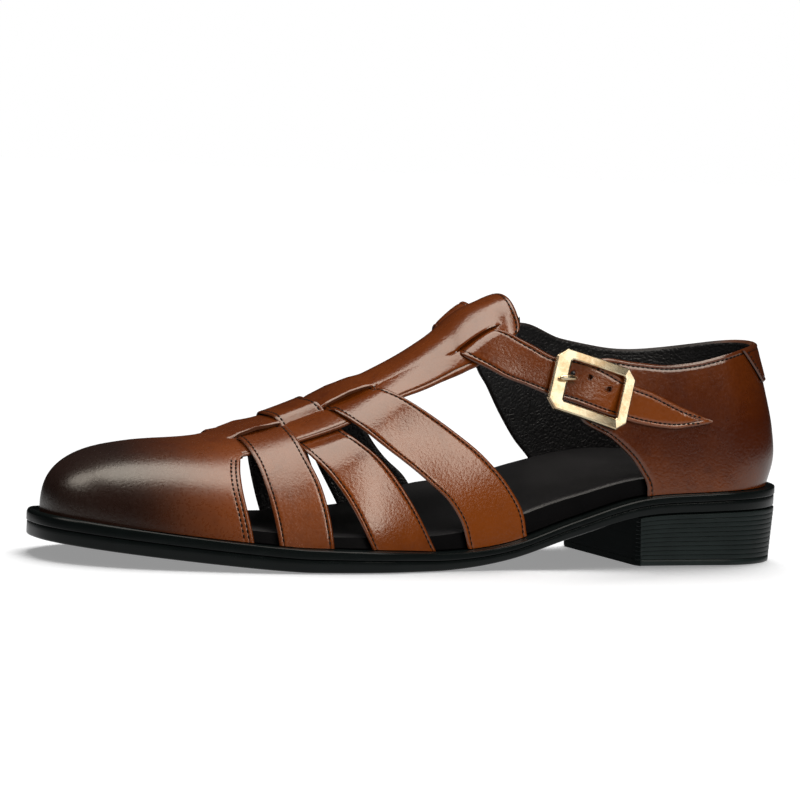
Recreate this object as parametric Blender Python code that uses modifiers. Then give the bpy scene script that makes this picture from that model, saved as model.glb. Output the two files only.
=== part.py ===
"""Roman sandal, left shoe: closed toe, woven cross straps and a buckled ankle strap.

Millimetres inside, metres in the meshes. Toe to -X, heel to +X, outer side (buckle) to -Y,
inner side to +Y, +Z up, floor at z = 0. Stations run from the back of the heel to the toe tip.
"""
import bpy
import bmesh
import numpy as np

NAME = "roman_sandal"
MM = 0.001
LENGTH = 302.0
BALL_WIDTH = 102.4
INSTEP_HEIGHT = 90.0
HEEL_HEIGHT = 21.7
COLLAR_HEIGHT = 55.5
WALL = 2.0
GAP = 0.35
LAP = 0.4
WELT_SHARE = 0.53
HEEL_LENGTH = 72.0
TOP_LIFT = 2.3
HEEL_LAYERS = 8
HEEL_GROOVE = 0.45
HEEL_TAPER = 1.2
UPPER_BACK = 3.6
UPPER_TIP = 297.6
INNER_VAMP_SHIFT = 4.0
FOOTBED_SHORT = 7.0

# station % of LENGTH, half width % of BALL_WIDTH, centre % of BALL_WIDTH
SOLE_PLAN = (
    (0.0, 32.4, 0.0), (11.6, 32.4, 0.0), (23.8, 33.2, -0.4), (38.1, 34.0, -4.2),
    (49.7, 39.7, -4.3), (62.9, 48.6, -2.1), (70.2, 50.0, 0.5), (77.8, 47.9, 2.8),
    (86.8, 41.8, 5.6), (100.0, 32.1, 8.7),
)
SOLE_HEEL_ROUND, SOLE_TOE_ROUND, TOE_POWER = 34.0, 44.0, 2.4

# station % of LENGTH, underside % of HEEL_HEIGHT, sole thickness mm
SOLE_SIDE = (
    (0.0, 100.0, 7.9), (13.2, 95.0, 7.3), (23.8, 86.2, 6.8), (33.1, 54.4, 6.1),
    (43.0, 16.1, 5.6), (51.3, 1.4, 6.4), (57.9, 0.0, 7.3), (71.2, 0.0, 8.4),
    (81.1, 8.8, 8.8), (91.1, 20.3, 9.0), (100.0, 30.4, 9.0),
)

# station %, half width %, centre %, crown % of INSTEP_HEIGHT, crown shift mm, side power, crown power
LAST = (
    (0.0, 29.1, 0.0, 124.4, 0.0, 3.4, 1.6), (11.6, 29.1, 0.0, 123.3, 0.0, 3.4, 1.6),
    (23.8, 29.3, -0.4, 116.7, 0.0, 3.0, 1.6), (31.5, 29.1, -2.5, 106.7, 2.0, 2.5, 1.6),
    (38.7, 29.5, -4.2, 100.3, 4.0, 2.2, 1.7), (44.0, 31.3, -4.5, 97.1, 5.0, 2.0, 1.8),
    (49.7, 34.6, -4.3, 84.6, 5.0, 1.9, 1.85), (56.3, 39.3, -3.4, 70.9, 5.0, 1.9, 1.9),
    (62.9, 43.2, -2.1, 58.6, 5.0, 2.0, 1.95), (70.2, 44.5, 0.5, 47.6, 5.0, 2.1, 2.0),
    (77.8, 42.4, 2.8, 39.0, 4.0, 2.3, 2.1), (86.8, 36.3, 5.6, 33.6, 2.0, 2.5, 2.3),
    (98.5, 27.7, 8.4, 27.3, 0.0, 2.7, 2.5),
)
LAST_HEEL_ROUND, LAST_TOE_ROUND = 30.5, 40.0
TOE_RISE_ROUND, TOE_RISE_POWER = 29.0, 2.5

# height % of COLLAR_HEIGHT, forward lean of the back mm
BACK_CURVE = ((0.0, 0.0), (18.0, -2.6), (40.0, -1.6), (65.0, 1.6), (101.0, 6.6), (216.0, 14.0))

# turn (0 outer feather, 0.5 crown), station of the vamp's back edge
VAMP_EDGE = ((0.0, 233.5), (0.1, 235.2), (0.17, 235.6), (0.25, 234.4), (0.3, 232.6), (0.34, 231.0))
BAR_ROOT = 231.0
BAR_END = 117.6
BAR_END_ROUND = 9.0
# station, half width of the centre bar, half width between its slits, lift of that ridge
BAR = (
    (117.0, 23.5, 17.0, 0.0), (124.5, 24.5, 17.0, 0.2), (128.0, 25.5, 17.0, 2.2), (139.0, 27.5, 17.0, 2.2),
    (145.5, 25.6, 16.5, 2.2), (149.0, 24.6, 14.0, 0.2), (160.0, 22.0, 12.0, 0.0), (171.0, 22.8, 12.0, 0.2),
    (175.5, 24.0, 11.8, 2.0), (192.5, 27.0, 11.5, 2.0), (196.0, 27.0, 11.5, 1.0), (208.0, 27.0, 11.5, 1.0),
    (211.0, 27.0, 11.2, 1.5), (229.0, 27.5, 11.5, 1.5), (236.0, 28.0, 11.5, 0.1), (245.0, 28.0, 11.5, 0.0),
)
BAR_ROWS = (
    0.0, 122.5, 125.0, 128.0, 132.0, 136.5, 141.0, 145.5, 149.0, 154.0, 160.0, 166.0, 171.0, 175.5,
    181.0, 187.0, 192.5, 196.0, 202.0, 208.0, 211.0, 217.0, 223.0, 227.5,
)

# turn from the feather, station of the front edge, station of the back edge; outer side then inner side
STRAPS = {
    "front": (
        ((0.0, 224.3, 203.5), (0.1, 225.9, 205.0), (0.18, 226.8, 206.6), (0.26, 227.5, 208.8),
         (0.33, 228.6, 209.8), (0.42, 231.0, 210.4), (0.5, 232.0, 211.0)),
        ((0.0, 229.0, 208.4), (0.1, 229.5, 208.8), (0.18, 229.5, 209.4), (0.26, 229.5, 209.8),
         (0.33, 230.0, 210.2), (0.42, 231.2, 210.6), (0.5, 232.0, 211.0)),
    ),
    "middle": (
        ((0.0, 188.3, 160.5), (0.06, 192.8, 166.8), (0.12, 197.2, 173.3), (0.19, 202.3, 180.6),
         (0.29, 208.8, 190.7), (0.4, 211.0, 194.2), (0.5, 212.5, 196.5)),
        ((0.0, 196.0, 169.0), (0.06, 199.0, 173.4), (0.12, 201.8, 178.0), (0.19, 205.0, 183.2),
         (0.29, 209.2, 191.2), (0.4, 211.2, 194.4), (0.5, 212.5, 196.5)),
    ),
    "rear": (
        ((0.0, 146.0, 119.8), (0.05, 149.2, 122.2), (0.09, 154.8, 128.0), (0.13, 163.0, 135.8),
         (0.2, 175.6, 149.2), (0.3, 187.4, 165.0), (0.4, 193.6, 174.6), (0.5, 195.5, 177.0)),
        ((0.0, 164.0, 134.0), (0.05, 168.5, 138.5), (0.09, 172.6, 143.5), (0.13, 176.6, 151.5),
         (0.2, 182.5, 161.0), (0.3, 189.0, 169.5), (0.4, 193.8, 175.0), (0.5, 195.5, 177.0)),
    ),
}
# distance from the crown, level of the strap's outer face
OVER_BAR = ((0.0, 0.0), (9.0, 0.0), (13.5, 1.6), (25.0, 1.6), (31.0, -0.1), (200.0, -0.1))
UNDER_BAR = ((0.0, 2.7), (9.0, 2.7), (13.5, -1.6), (25.5, -1.6), (31.0, -0.1), (200.0, -0.1))
STRAP_STOPS = (4.5, 9.0, 11.2, 13.5, 19.0, 25.0, 28.0, 31.0)

# height above the seat, station of the quarter's front edge
OUTER_FRONT = ((0.0, 67.2), (4.2, 67.7), (11.0, 71.2), (17.6, 75.5), (25.4, 83.1), (35.4, 95.8),
               (45.0, 100.0), (58.0, 98.0))
INNER_FRONT = ((0.0, 85.0), (8.0, 87.0), (18.0, 91.9), (27.6, 99.1), (37.4, 105.9), (48.7, 113.3),
               (58.5, 120.0), (66.0, 120.0), (79.0, 112.0))
# station, height of the topline above the seat
OUTER_TOP = ((3.6, 55.5), (20.0, 54.0), (30.0, 52.4), (46.0, 50.0), (60.0, 49.5), (73.0, 51.8),
             (87.0, 56.9), (98.0, 58.0))
INNER_TOP = ((3.6, 55.5), (15.5, 53.2), (36.8, 51.0), (60.6, 52.0), (80.8, 58.8), (101.0, 71.9),
             (112.0, 79.0), (122.0, 82.0))

# upper edge station and turn, lower edge station and turn, level of the ankle strap's outer face
ANKLE = (
    (103.5, 0.698, 117.0, 0.765, 0.4), (111.0, 0.685, 122.0, 0.738, 0.4),
    (118.5, 0.672, 130.0, 0.702, 0.5), (125.0, 0.656, 138.0, 0.672, 1.6),
    (127.3, 0.643, 142.8, 0.650, 1.6), (127.1, 0.602, 144.0, 0.612, 0.65),
    (126.5, 0.504, 144.5, 0.503, 0.65), (127.0, 0.400, 144.0, 0.390, 0.6),
    (127.8, 0.357, 143.0, 0.352, 1.65), (122.3, 0.329, 137.0, 0.312, 1.65),
    (115.5, 0.294, 129.4, 0.265, 2.35), (107.3, 0.259, 119.5, 0.231, 2.35),
    (99.0, 0.232, 110.0, 0.203, 2.35), (90.0, 0.208, 97.0, 0.172, 2.35),
    (76.0, 0.170, 84.0, 0.139, 2.35), (66.0, 0.149, 72.0, 0.114, 2.35),
    (56.0, 0.130, 59.0, 0.101, 2.35), (48.0, 0.117, 49.0, 0.102, 2.35),
    (41.2, 0.107, 41.4, 0.105, 2.35),
)

# station, inner floor of the footbed at the outer edge, middle, inner edge (mm above the seat)
FOOTBED = (
    (0.0, 8.0, 6.5, 9.5), (60.0, 7.5, 6.5, 13.0), (92.0, 8.3, 8.0, 16.0), (120.0, 9.0, 9.5, 17.5),
    (140.0, 7.6, 9.0, 18.6), (168.0, 6.0, 6.5, 9.8), (198.0, 5.0, 4.8, 5.0), (240.0, 5.4, 5.0, 5.4),
    (302.0, 5.0, 4.8, 5.0),
)

# buckle frame in its own plane: along the strap to the heel, across upward (mm)
BUCKLE_AT = (94.4, 0.189)
BUCKLE_TURN = 0.065
BUCKLE_LENGTH, BUCKLE_HEIGHT, BUCKLE_BAR, BUCKLE_THICK, BUCKLE_CUT = 36.4, 24.4, 4.4, 2.4, 4.6
PRONG_RADIUS = 1.1
TAB_STATION, TAB_BOTTOM_STATION, TAB_BOTTOM, TAB_WALL = 20.6, 11.0, 40.5, 1.2


def curve(rows, x, column=1):
    """Smooth curve through the rows of a table: the first column against another one."""
    data = np.array(rows, float)
    knots, values = data[:, 0], data[:, column]
    slopes = np.gradient(values, knots)
    x = np.clip(np.asarray(x, float), knots[0], knots[-1])
    i = np.clip(np.searchsorted(knots, x, side="right") - 1, 0, len(knots) - 2)
    span = knots[i + 1] - knots[i]
    t = (x - knots[i]) / span
    rise = values[i] * (2 * t**3 - 3 * t**2 + 1) + values[i + 1] * (3 * t**2 - 2 * t**3)
    return rise + span * (slopes[i] * (t**3 - 2 * t**2 + t) + slopes[i + 1] * (t**3 - t**2))


def line(rows, x, column=1):
    data = np.array(rows, float)
    return np.interp(x, data[:, 0], data[:, column])


def share(station):
    return 100.0 * np.asarray(station, float) / LENGTH


def rounded(t, power):
    t = np.clip(t, 0.0, 1.0)
    return (1.0 - t**power) ** (1.0 / power)


def sole_half(station):
    ends = rounded((SOLE_HEEL_ROUND - station) / SOLE_HEEL_ROUND, 2.0)
    ends = ends * rounded((station - LENGTH + SOLE_TOE_ROUND) / SOLE_TOE_ROUND, TOE_POWER)
    return curve(SOLE_PLAN, share(station), 1) * BALL_WIDTH / 100.0 * ends


def sole_centre(station):
    return curve(SOLE_PLAN, share(station), 2) * BALL_WIDTH / 100.0


def sole_under(station):
    return np.maximum(curve(SOLE_SIDE, share(station), 1) * HEEL_HEIGHT / 100.0, 0.0)


def sole_thick(station):
    return curve(SOLE_SIDE, share(station), 2)


def seat(station):
    return sole_under(station) + sole_thick(station)


def spaced(count, first=0.0, last=1.0):
    """Stations from heel to toe, crowded at both round ends."""
    p = np.linspace(first, last, count)
    return 0.5 * (1.0 - np.cos(np.pi * p))


def to_p(station):
    t = np.clip((np.asarray(station, float) - UPPER_BACK) / (UPPER_TIP - UPPER_BACK), 0.0, 1.0)
    return np.arccos(1.0 - 2.0 * t) / np.pi


def to_station(p):
    return UPPER_BACK + (UPPER_TIP - UPPER_BACK) * 0.5 * (1.0 - np.cos(np.pi * np.asarray(p, float)))


def crown(station):
    rise = rounded((station - UPPER_TIP + TOE_RISE_ROUND) / TOE_RISE_ROUND, TOE_RISE_POWER)
    return curve(LAST, share(station), 3) * INSTEP_HEIGHT / 100.0 * np.maximum(rise, 1e-4)


def surface(station, turn):
    """Outer face of the upper: station along the foot, turn from outer feather over to inner feather."""
    station, turn = np.broadcast_arrays(np.asarray(station, float), np.asarray(turn, float))
    at = share(station)
    ends = rounded((UPPER_BACK + LAST_HEEL_ROUND - station) / LAST_HEEL_ROUND, 2.0)
    ends = ends * rounded((station - UPPER_TIP + LAST_TOE_ROUND) / LAST_TOE_ROUND, TOE_POWER)
    half = curve(LAST, at, 1) * BALL_WIDTH / 100.0 * ends
    centre = curve(LAST, at, 2) * BALL_WIDTH / 100.0
    c = np.cos(np.pi * turn)
    rise = np.abs(np.sin(np.pi * turn)) ** (2.0 / curve(LAST, at, 6))
    height = crown(station) * rise
    y = centre - np.sign(c) * half * np.abs(c) ** (2.0 / curve(LAST, at, 5)) + curve(LAST, at, 4) * rise
    fade = np.clip((100.0 - station) / 90.0, 0.0, 1.0) ** 1.5
    lean = curve(BACK_CURVE, 100.0 * height / COLLAR_HEIGHT) * fade
    x = LENGTH / 2.0 - station - lean
    return np.stack([x, y, seat(station) + GAP + height], -1)


def normal(station, turn):
    p = np.clip(to_p(station), 0.004, 0.996)
    turn = np.clip(turn, 0.004, 0.996)
    d = 0.002
    along = surface(to_station(p + d), turn) - surface(to_station(p - d), turn)
    round_ = surface(to_station(p), turn + d) - surface(to_station(p), turn - d)
    n = np.cross(round_, along)
    return n / (np.linalg.norm(n, axis=-1, keepdims=True) + 1e-12)


def place(station, turn, level=0.0):
    station, turn, level = np.broadcast_arrays(
        np.asarray(station, float), np.asarray(turn, float), np.asarray(level, float))
    point = surface(station, turn) + normal(station, turn) * level[..., None]
    point[..., 2] = np.maximum(point[..., 2], seat(station) + GAP)
    return point


def turn_at_height(station, height, side):
    share_up = np.clip(height / crown(station), 0.0, 1.0) ** (curve(LAST, share(station), 6) / 2.0)
    turn = np.arcsin(share_up) / np.pi
    return np.where(side < 0, turn, 1.0 - turn)


def turn_at_arc(station, arc):
    """Turn of the point that lies the given distance from the crown, measured round the section."""
    station, arc = np.broadcast_arrays(np.asarray(station, float), np.asarray(arc, float))
    turns = np.linspace(0.0, 1.0, 161)
    out = np.empty(station.shape)
    for i in np.ndindex(station.shape):
        ring = surface(np.full(161, station[i]), turns)
        run = np.concatenate([[0.0], np.cumsum(np.linalg.norm(np.diff(ring, axis=0), axis=1))])
        run = run - np.interp(0.5, turns, run)
        out[i] = np.interp(arc[i], run, turns)
    return out


def arc_length(station, turn):
    turns = np.linspace(turn, 0.5, 60)
    ring = surface(np.full(60, float(station)), turns)
    return float(np.sum(np.linalg.norm(np.diff(ring, axis=0), axis=1)))


def collection(name):
    found = bpy.data.collections.new(name)
    bpy.context.scene.collection.children.link(found)
    return found


def material(name, colour, roughness, metallic=0.0):
    made = bpy.data.materials.new(name)
    made.use_nodes = True
    shader = made.node_tree.nodes["Principled BSDF"]
    shader.inputs["Base Color"].default_value = (*colour, 1.0)
    shader.inputs["Roughness"].default_value = roughness
    shader.inputs["Metallic"].default_value = metallic
    return made


def face_out(work):
    bmesh.ops.recalc_face_normals(work, faces=work.faces)
    if work.calc_volume(signed=True) < 0.0:
        bmesh.ops.reverse_faces(work, faces=work.faces)


def new_object(name, group, points, faces, merge=0.00002):
    mesh = bpy.data.meshes.new(name)
    mesh.from_pydata([tuple(v * MM for v in p) for p in points], [], faces)
    work = bmesh.new()
    work.from_mesh(mesh)
    bmesh.ops.remove_doubles(work, verts=work.verts, dist=merge)
    bmesh.ops.dissolve_degenerate(work, dist=0.00001, edges=work.edges)
    face_out(work)
    work.to_mesh(mesh)
    work.free()
    made = bpy.data.objects.new(name, mesh)
    group.objects.link(made)
    return made


def apply(obj):
    """Replace the mesh of an object by what its modifiers make of it."""
    bpy.context.view_layer.update()
    graph = bpy.context.evaluated_depsgraph_get()
    mesh = bpy.data.meshes.new_from_object(obj.evaluated_get(graph))
    obj.modifiers.clear()
    old = obj.data
    obj.data = mesh
    bpy.data.meshes.remove(old)
    return obj


def sheet_faces(rows, columns, start=0):
    out = []
    for i in range(rows - 1):
        for j in range(columns - 1):
            a = start + i * columns + j
            out.append((a, a + 1, a + columns + 1, a + columns))
    return out


def walled(name, group, outer, inner, faces):
    """Close an outer and an inner sheet that share their faces into one thin-walled solid."""
    count = len(outer)
    edges = {}
    for face in faces:
        for a, b in zip(face, face[1:] + face[:1]):
            edges[(a, b)] = edges.get((a, b), 0) + 1
    rim = [(a, b) for a, b in edges if (b, a) not in edges]
    solid = list(faces)
    solid += [tuple(v + count for v in reversed(face)) for face in faces]
    solid += [(b, a, a + count, b + count) for a, b in rim]
    return new_object(name, group, list(outer) + list(inner), solid)


def join(target, pieces):
    for piece in pieces:
        union = target.modifiers.new("union", "BOOLEAN")
        union.operation = "UNION"
        union.solver = "EXACT"
        union.object = piece
        apply(target)
    return target


def ridge_lift(station, arc):
    """How far the ridge of the centre bar is pushed up by the strap below it."""
    half = curve(BAR, station, 2)
    lift = line(BAR, station, 3)
    edge = np.clip((half + 0.6 - np.abs(arc)) / 1.6, 0.0, 1.0)
    return lift * edge * edge * (3.0 - 2.0 * edge)


def vamp_and_bar(group):
    """Toe vamp and centre bar: one T-shaped sheet over the last."""
    across = 11
    side = 9
    outer, inner, faces = [], [], []
    bar_rows = []
    for row, station in enumerate(BAR_ROWS):
        half = curve(BAR, max(station, BAR_END), 1)
        ridge = curve(BAR, max(station, BAR_END), 2)
        stops = np.array([half, 0.5 * (half + ridge) + 0.6, ridge + 0.8, ridge - 1.2, 0.5 * ridge])
        arcs = np.concatenate([-stops, [0.0], stops[::-1]])
        end = BAR_END + BAR_END_ROUND * np.abs(arcs / half) ** 9
        stations = end if row == 0 else np.maximum(station, end + 1.2 * row)
        bar_rows.append((stations, arcs))
    for stations, arcs in bar_rows:
        turns = turn_at_arc(stations, arcs)
        level = ridge_lift(stations, arcs)
        level = level - 2.4 * np.clip((123.0 - stations) / 5.5, 0.0, 1.0) ** 2
        outer += place(stations, turns, level).tolist()
        inner += place(stations, turns, level - WALL).tolist()
    faces += sheet_faces(len(BAR_ROWS), across)
    first = len(outer)
    half = float(curve(BAR, BAR_ROOT, 1))
    ridge = float(curve(BAR, BAR_ROOT, 2))
    stops = np.array([half, 0.5 * (half + ridge) + 0.6, ridge + 0.8, ridge - 1.2, 0.5 * ridge])
    bar_turns = turn_at_arc(np.full(across, BAR_ROOT), np.concatenate([-stops, [0.0], stops[::-1]]))
    low = np.linspace(0.0, bar_turns[0], side + 1)[:-1]
    high = np.linspace(bar_turns[-1], 1.0, side + 1)[1:]
    turns = np.concatenate([low, bar_turns, high])
    inner_shift = INNER_VAMP_SHIFT * np.clip((high - bar_turns[-1]) / 0.08, 0.0, 1.0)
    inner_edge = curve(VAMP_EDGE, 1.0 - high) + inner_shift
    edge = np.concatenate([curve(VAMP_EDGE, low), np.full(across, BAR_ROOT), inner_edge])
    columns = len(turns)
    steps = np.concatenate([[0.0, 0.075], np.linspace(0.16, 1.0, 14)])
    start = to_p(edge)
    for step in steps:
        stations = to_station(start + (1.0 - start) * step)
        turns = turns if step < 1.0 else np.full(columns, 0.5)
        arcs = np.array([arc_length(s, t) for s, t in zip(np.minimum(stations, 250.0), turns)])
        level = ridge_lift(np.minimum(stations, 245.0), arcs)
        outer += place(stations, turns, level).tolist()
        inner += place(stations, turns, level - WALL).tolist()
    faces += sheet_faces(len(steps), columns, first)
    last_bar = (len(BAR_ROWS) - 1) * across
    for j in range(across - 1):
        a = last_bar + j
        b = first + side + j
        faces.append((a, a + 1, b + 1, b))
    return walled("upper", group, outer, inner, faces)


def cross_strap(name, group):
    sides = STRAPS[name]
    levels = UNDER_BAR if name == "middle" else OVER_BAR
    crown_station = 0.5 * (sides[0][-1][1] + sides[0][-1][2])
    stops = [turn_at_arc(crown_station, -d) for d in reversed(STRAP_STOPS)]
    free = np.linspace(0.0, float(stops[0]), 9)[:-1]
    half = np.concatenate([free, [float(t) for t in stops]])
    turns = np.concatenate([half, [0.487, 0.513], 1.0 - half[::-1]])
    outer, inner = [], []
    for turn in turns:
        fold = min(turn, 1.0 - turn)
        rows = sides[0] if turn < 0.5 else sides[1]
        front = float(curve(rows, fold, 1))
        back = float(curve(rows, fold, 2))
        stations = np.linspace(front, back, 5)
        arcs = np.array([arc_length(s, turn) for s in stations])
        level = line(levels, arcs)
        if levels is OVER_BAR:
            tuck = float(line(BAR, crown_station, 3)) - WALL + LAP
            level = level + tuck * np.clip((13.5 - arcs) / 4.5, 0.0, 1.0)
        outer += place(stations, turn, level).tolist()
        inner += place(stations, turn, level - WALL).tolist()
    return walled("strap_" + name, group, outer, inner, sheet_faces(len(turns), 5))


def quarter(group):
    rows, columns = 9, 39
    outer, inner = [], []
    for v in np.linspace(0.0, 1.0, rows):
        outer_end = float(curve(OUTER_FRONT, v * OUTER_TOP[-1][1]))
        inner_end = float(curve(INNER_FRONT, v * INNER_FRONT[-1][0]))
        p = np.linspace(-float(to_p(outer_end)), float(to_p(inner_end)), columns)
        stations = to_station(np.abs(p))
        top = np.where(p < 0, curve(OUTER_TOP, stations), curve(INNER_TOP, stations))
        side = np.where(p < 0, -1.0, 1.0)
        turns = turn_at_height(stations, v * top, side)
        outer += place(stations, turns, 0.0).tolist()
        inner += place(stations, turns, -WALL).tolist()
    return walled("quarter", group, outer, inner, sheet_faces(rows, columns))


def ankle_strap(group):
    data = np.array(ANKLE)
    key = np.arange(len(data), dtype=float)
    fine = np.linspace(0.0, len(data) - 1.0, 37)
    table = np.stack([curve(np.stack([key, data[:, c]], 1), fine) for c in range(4)], 1)
    level = line(np.stack([key, data[:, 4]], 1), fine)
    outer, inner = [], []
    for row, lev in zip(table, level):
        stations = np.linspace(row[0], row[2], 5)
        turns = np.linspace(row[1], row[3], 5)
        outer += place(stations, turns, lev).tolist()
        inner += place(stations, turns, lev - WALL).tolist()
    return walled("ankle", group, outer, inner, sheet_faces(len(fine), 5))


def plate(name, group, low, high, inset, first=0.0, last=1.0):
    """A plate of the sole: its outline from the plan table, its two faces following the side table."""
    stations = LENGTH * spaced(46, first, last)
    half = np.maximum(sole_half(stations) - inset, 0.0)
    centre = sole_centre(stations)
    x = LENGTH / 2.0 - stations
    points, faces = [], []
    for z in (low(stations), high(stations)):
        points += np.stack([x, centre - half, z], 1).tolist()
        points += np.stack([x, centre + half, z], 1).tolist()
    n = len(stations)
    for i in range(n - 1):
        faces.append((i, i + 1, n + i + 1, n + i))
        faces.append((2 * n + i, 3 * n + i, 3 * n + i + 1, 2 * n + i + 1))
        faces.append((i, 2 * n + i, 2 * n + i + 1, i + 1))
        faces.append((n + i, n + i + 1, 3 * n + i + 1, 3 * n + i))
    return new_object(name, group, points, faces)


def heel_ring(inset):
    s = HEEL_LENGTH * (1.0 - np.cos(np.linspace(0.0, np.pi / 2, 12)))
    half = np.maximum(sole_half(s) - inset * np.clip(s / 12.0, 0.0, 1.0), 0.0)
    forward = inset * np.clip(1.0 - s / 30.0, 0.0, 1.0)
    outer = np.stack([s + forward, sole_centre(s) - half], 1)[::-1]
    inner = np.stack([s + forward, sole_centre(s) + half], 1)[1:]
    return np.concatenate([outer, inner], 0)


def stack(name, group, rings):
    """Close a list of rings (stations, y, z) into a solid, bottom ring first."""
    count = len(rings[0])
    points = [p for ring in rings for p in ring]
    faces = []
    for k in range(len(rings) - 1):
        for j in range(count):
            a = k * count + j
            b = k * count + (j + 1) % count
            faces.append((a, b, b + count, a + count))
    top = (len(rings) - 1) * count
    for base, flip in ((0, True), (top, False)):
        for j in range(count // 2):
            a, b = base + j, base + j + 1
            c, d = base + count - 2 - j, base + count - 1 - j
            if b < c:
                faces.append((a, d, c, b) if flip else (a, b, c, d))
            elif b == c:
                faces.append((a, d, b) if flip else (a, b, d))
    return new_object(name, group, points, faces)


def heel(group):
    rings = []
    foot = TOP_LIFT + GAP
    for layer in range(HEEL_LAYERS):
        low, high = layer / HEEL_LAYERS, (layer + 1) / HEEL_LAYERS
        marks = [(low + 0.02, 0.0), (high - 0.02, 0.0)]
        if layer < HEEL_LAYERS - 1:
            marks.append((high, HEEL_GROOVE))
        for share_up, groove in marks:
            share_up = 0.0 if share_up < 0.03 else 1.0 if share_up > 0.97 else share_up
            ring = heel_ring(groove + HEEL_TAPER * (1.0 - share_up))
            top = sole_under(ring[:, 0]) - GAP
            z = foot + share_up * (top - foot)
            rings.append(np.stack([LENGTH / 2.0 - ring[:, 0], ring[:, 1], z], 1).tolist())
    return stack("heel_stack", group, rings)


def top_lift(group):
    rings = []
    for z, inset in ((0.0, HEEL_TAPER + 0.3), (0.4, HEEL_TAPER), (TOP_LIFT, HEEL_TAPER)):
        ring = heel_ring(inset)
        rings.append(np.stack([LENGTH / 2.0 - ring[:, 0], ring[:, 1], np.full(len(ring), z)], 1).tolist())
    return stack("top_lift", group, rings)


def footbed(group):
    """Insole with a raised inner arch, filling the floor of the upper."""
    rows, columns = 40, 6
    stations = to_station(np.linspace(0.0, float(to_p(UPPER_TIP - FOOTBED_SHORT)), rows))
    inset = -(WALL + GAP + 0.25)
    top, under = [], []
    across = np.linspace(0.0, 1.0, columns)
    for s in stations:
        heights = [float(curve(FOOTBED, s, c)) for c in (1, 2, 3)]
        limit = 0.8 * float(crown(s))
        rim = [min(heights[0], limit), min(heights[2], limit)]
        ends = [place(s, turn_at_height(s, h, side), inset) for h, side in zip(rim, (-1.0, 1.0))]
        feet = [place(s, turn_at_height(s, 0.4, side), inset) for side in (-1.0, 1.0)]
        floor = float(seat(s)) + GAP
        for t in across:
            line_z = heights[0] * (1 - t) ** 2 + heights[2] * t**2 + 2 * heights[1] * t * (1 - t)
            low = feet[0] * (1 - t) + feet[1] * t
            high = ends[0] * (1 - t) + ends[1] * t
            top.append((high[0], high[1], floor + line_z))
            under.append((low[0], low[1], floor))
    faces = sheet_faces(rows, columns)
    return walled("insole", group, top, under, faces)


def buckle_axes():
    """Middle of the buckle on the strap, along the strap to the heel, up across it, outward."""
    s, t = BUCKLE_AT
    middle = place(s, t, 2.35)
    out = normal(s, t)
    along = place(78.0, 0.150, 2.35) - place(109.0, 0.226, 2.35)
    along = along - out * float(along @ out)
    along = along / np.linalg.norm(along)
    up = np.cross(out, along)
    if up[2] < 0:
        up = -up
    turned = along * np.cos(BUCKLE_TURN) - up * np.sin(BUCKLE_TURN)
    up = up * np.cos(BUCKLE_TURN) + along * np.sin(BUCKLE_TURN)
    return middle, turned, up, out


def buckle(group):
    middle, along, up, out = buckle_axes()
    lift = 1.0
    half_l, half_h, cut = BUCKLE_LENGTH / 2.0, BUCKLE_HEIGHT / 2.0, BUCKLE_CUT
    bar = BUCKLE_BAR

    def ring(l, h, c):
        lower = [(-l + c, -h), (l - c, -h), (l, -h + c), (l, h - c)]
        return lower + [(-u, -w) for u, w in lower]

    rim = ring(half_l, half_h, cut)
    window = ring(half_l - bar, half_h - bar, 1.2)
    points, faces = [], []
    for depth in (lift, lift + BUCKLE_THICK):
        for u, w in rim + window:
            points.append(tuple(middle + along * u + up * w + out * depth))
    for j in range(8):
        k = (j + 1) % 8
        faces.append((j, 8 + j, 8 + k, k))
        faces.append((16 + j, 16 + k, 24 + k, 24 + j))
        faces.append((j, k, 16 + k, 16 + j))
        faces.append((8 + j, 24 + j, 24 + k, 8 + k))
    made = new_object("buckle_frame", group, points, faces)
    edge = made.modifiers.new("edge", "BEVEL")
    edge.width = 0.5 * MM
    edge.segments = 1
    edge.limit_method = "ANGLE"
    edge.angle_limit = 0.6
    return apply(made)


def prong(group):
    """Visible end of the prong: out of a strap hole, over the toe-side bar of the frame."""
    middle, along, up, out = buckle_axes()
    rest = 1.0 + BUCKLE_THICK + GAP + PRONG_RADIUS
    stops = ((-8.5, 0.45 + PRONG_RADIUS), (-10.5, 2.2), (-13.0, rest), (-17.0, rest + 0.1),
             (-19.6, rest - 0.2))
    path = bpy.data.curves.new("prong_path", "CURVE")
    path.dimensions = "3D"
    path.bevel_depth = PRONG_RADIUS * MM
    path.bevel_resolution = 2
    path.use_fill_caps = True
    run = path.splines.new("POLY")
    run.points.add(len(stops) - 1)
    for point, (u, d) in zip(run.points, stops):
        point.co = (*((middle + along * u + out * d + up * 0.6) * MM), 1.0)
    holder = bpy.data.objects.new("prong_path", path)
    group.objects.link(holder)
    bpy.context.view_layer.update()
    graph = bpy.context.evaluated_depsgraph_get()
    mesh = bpy.data.meshes.new_from_object(holder.evaluated_get(graph))
    bpy.data.objects.remove(holder)
    made = bpy.data.objects.new("buckle_prong", mesh)
    group.objects.link(made)
    work = bmesh.new()
    work.from_mesh(mesh)
    bmesh.ops.remove_doubles(work, verts=work.verts, dist=0.00002)
    face_out(work)
    work.to_mesh(mesh)
    work.free()
    return made


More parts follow.
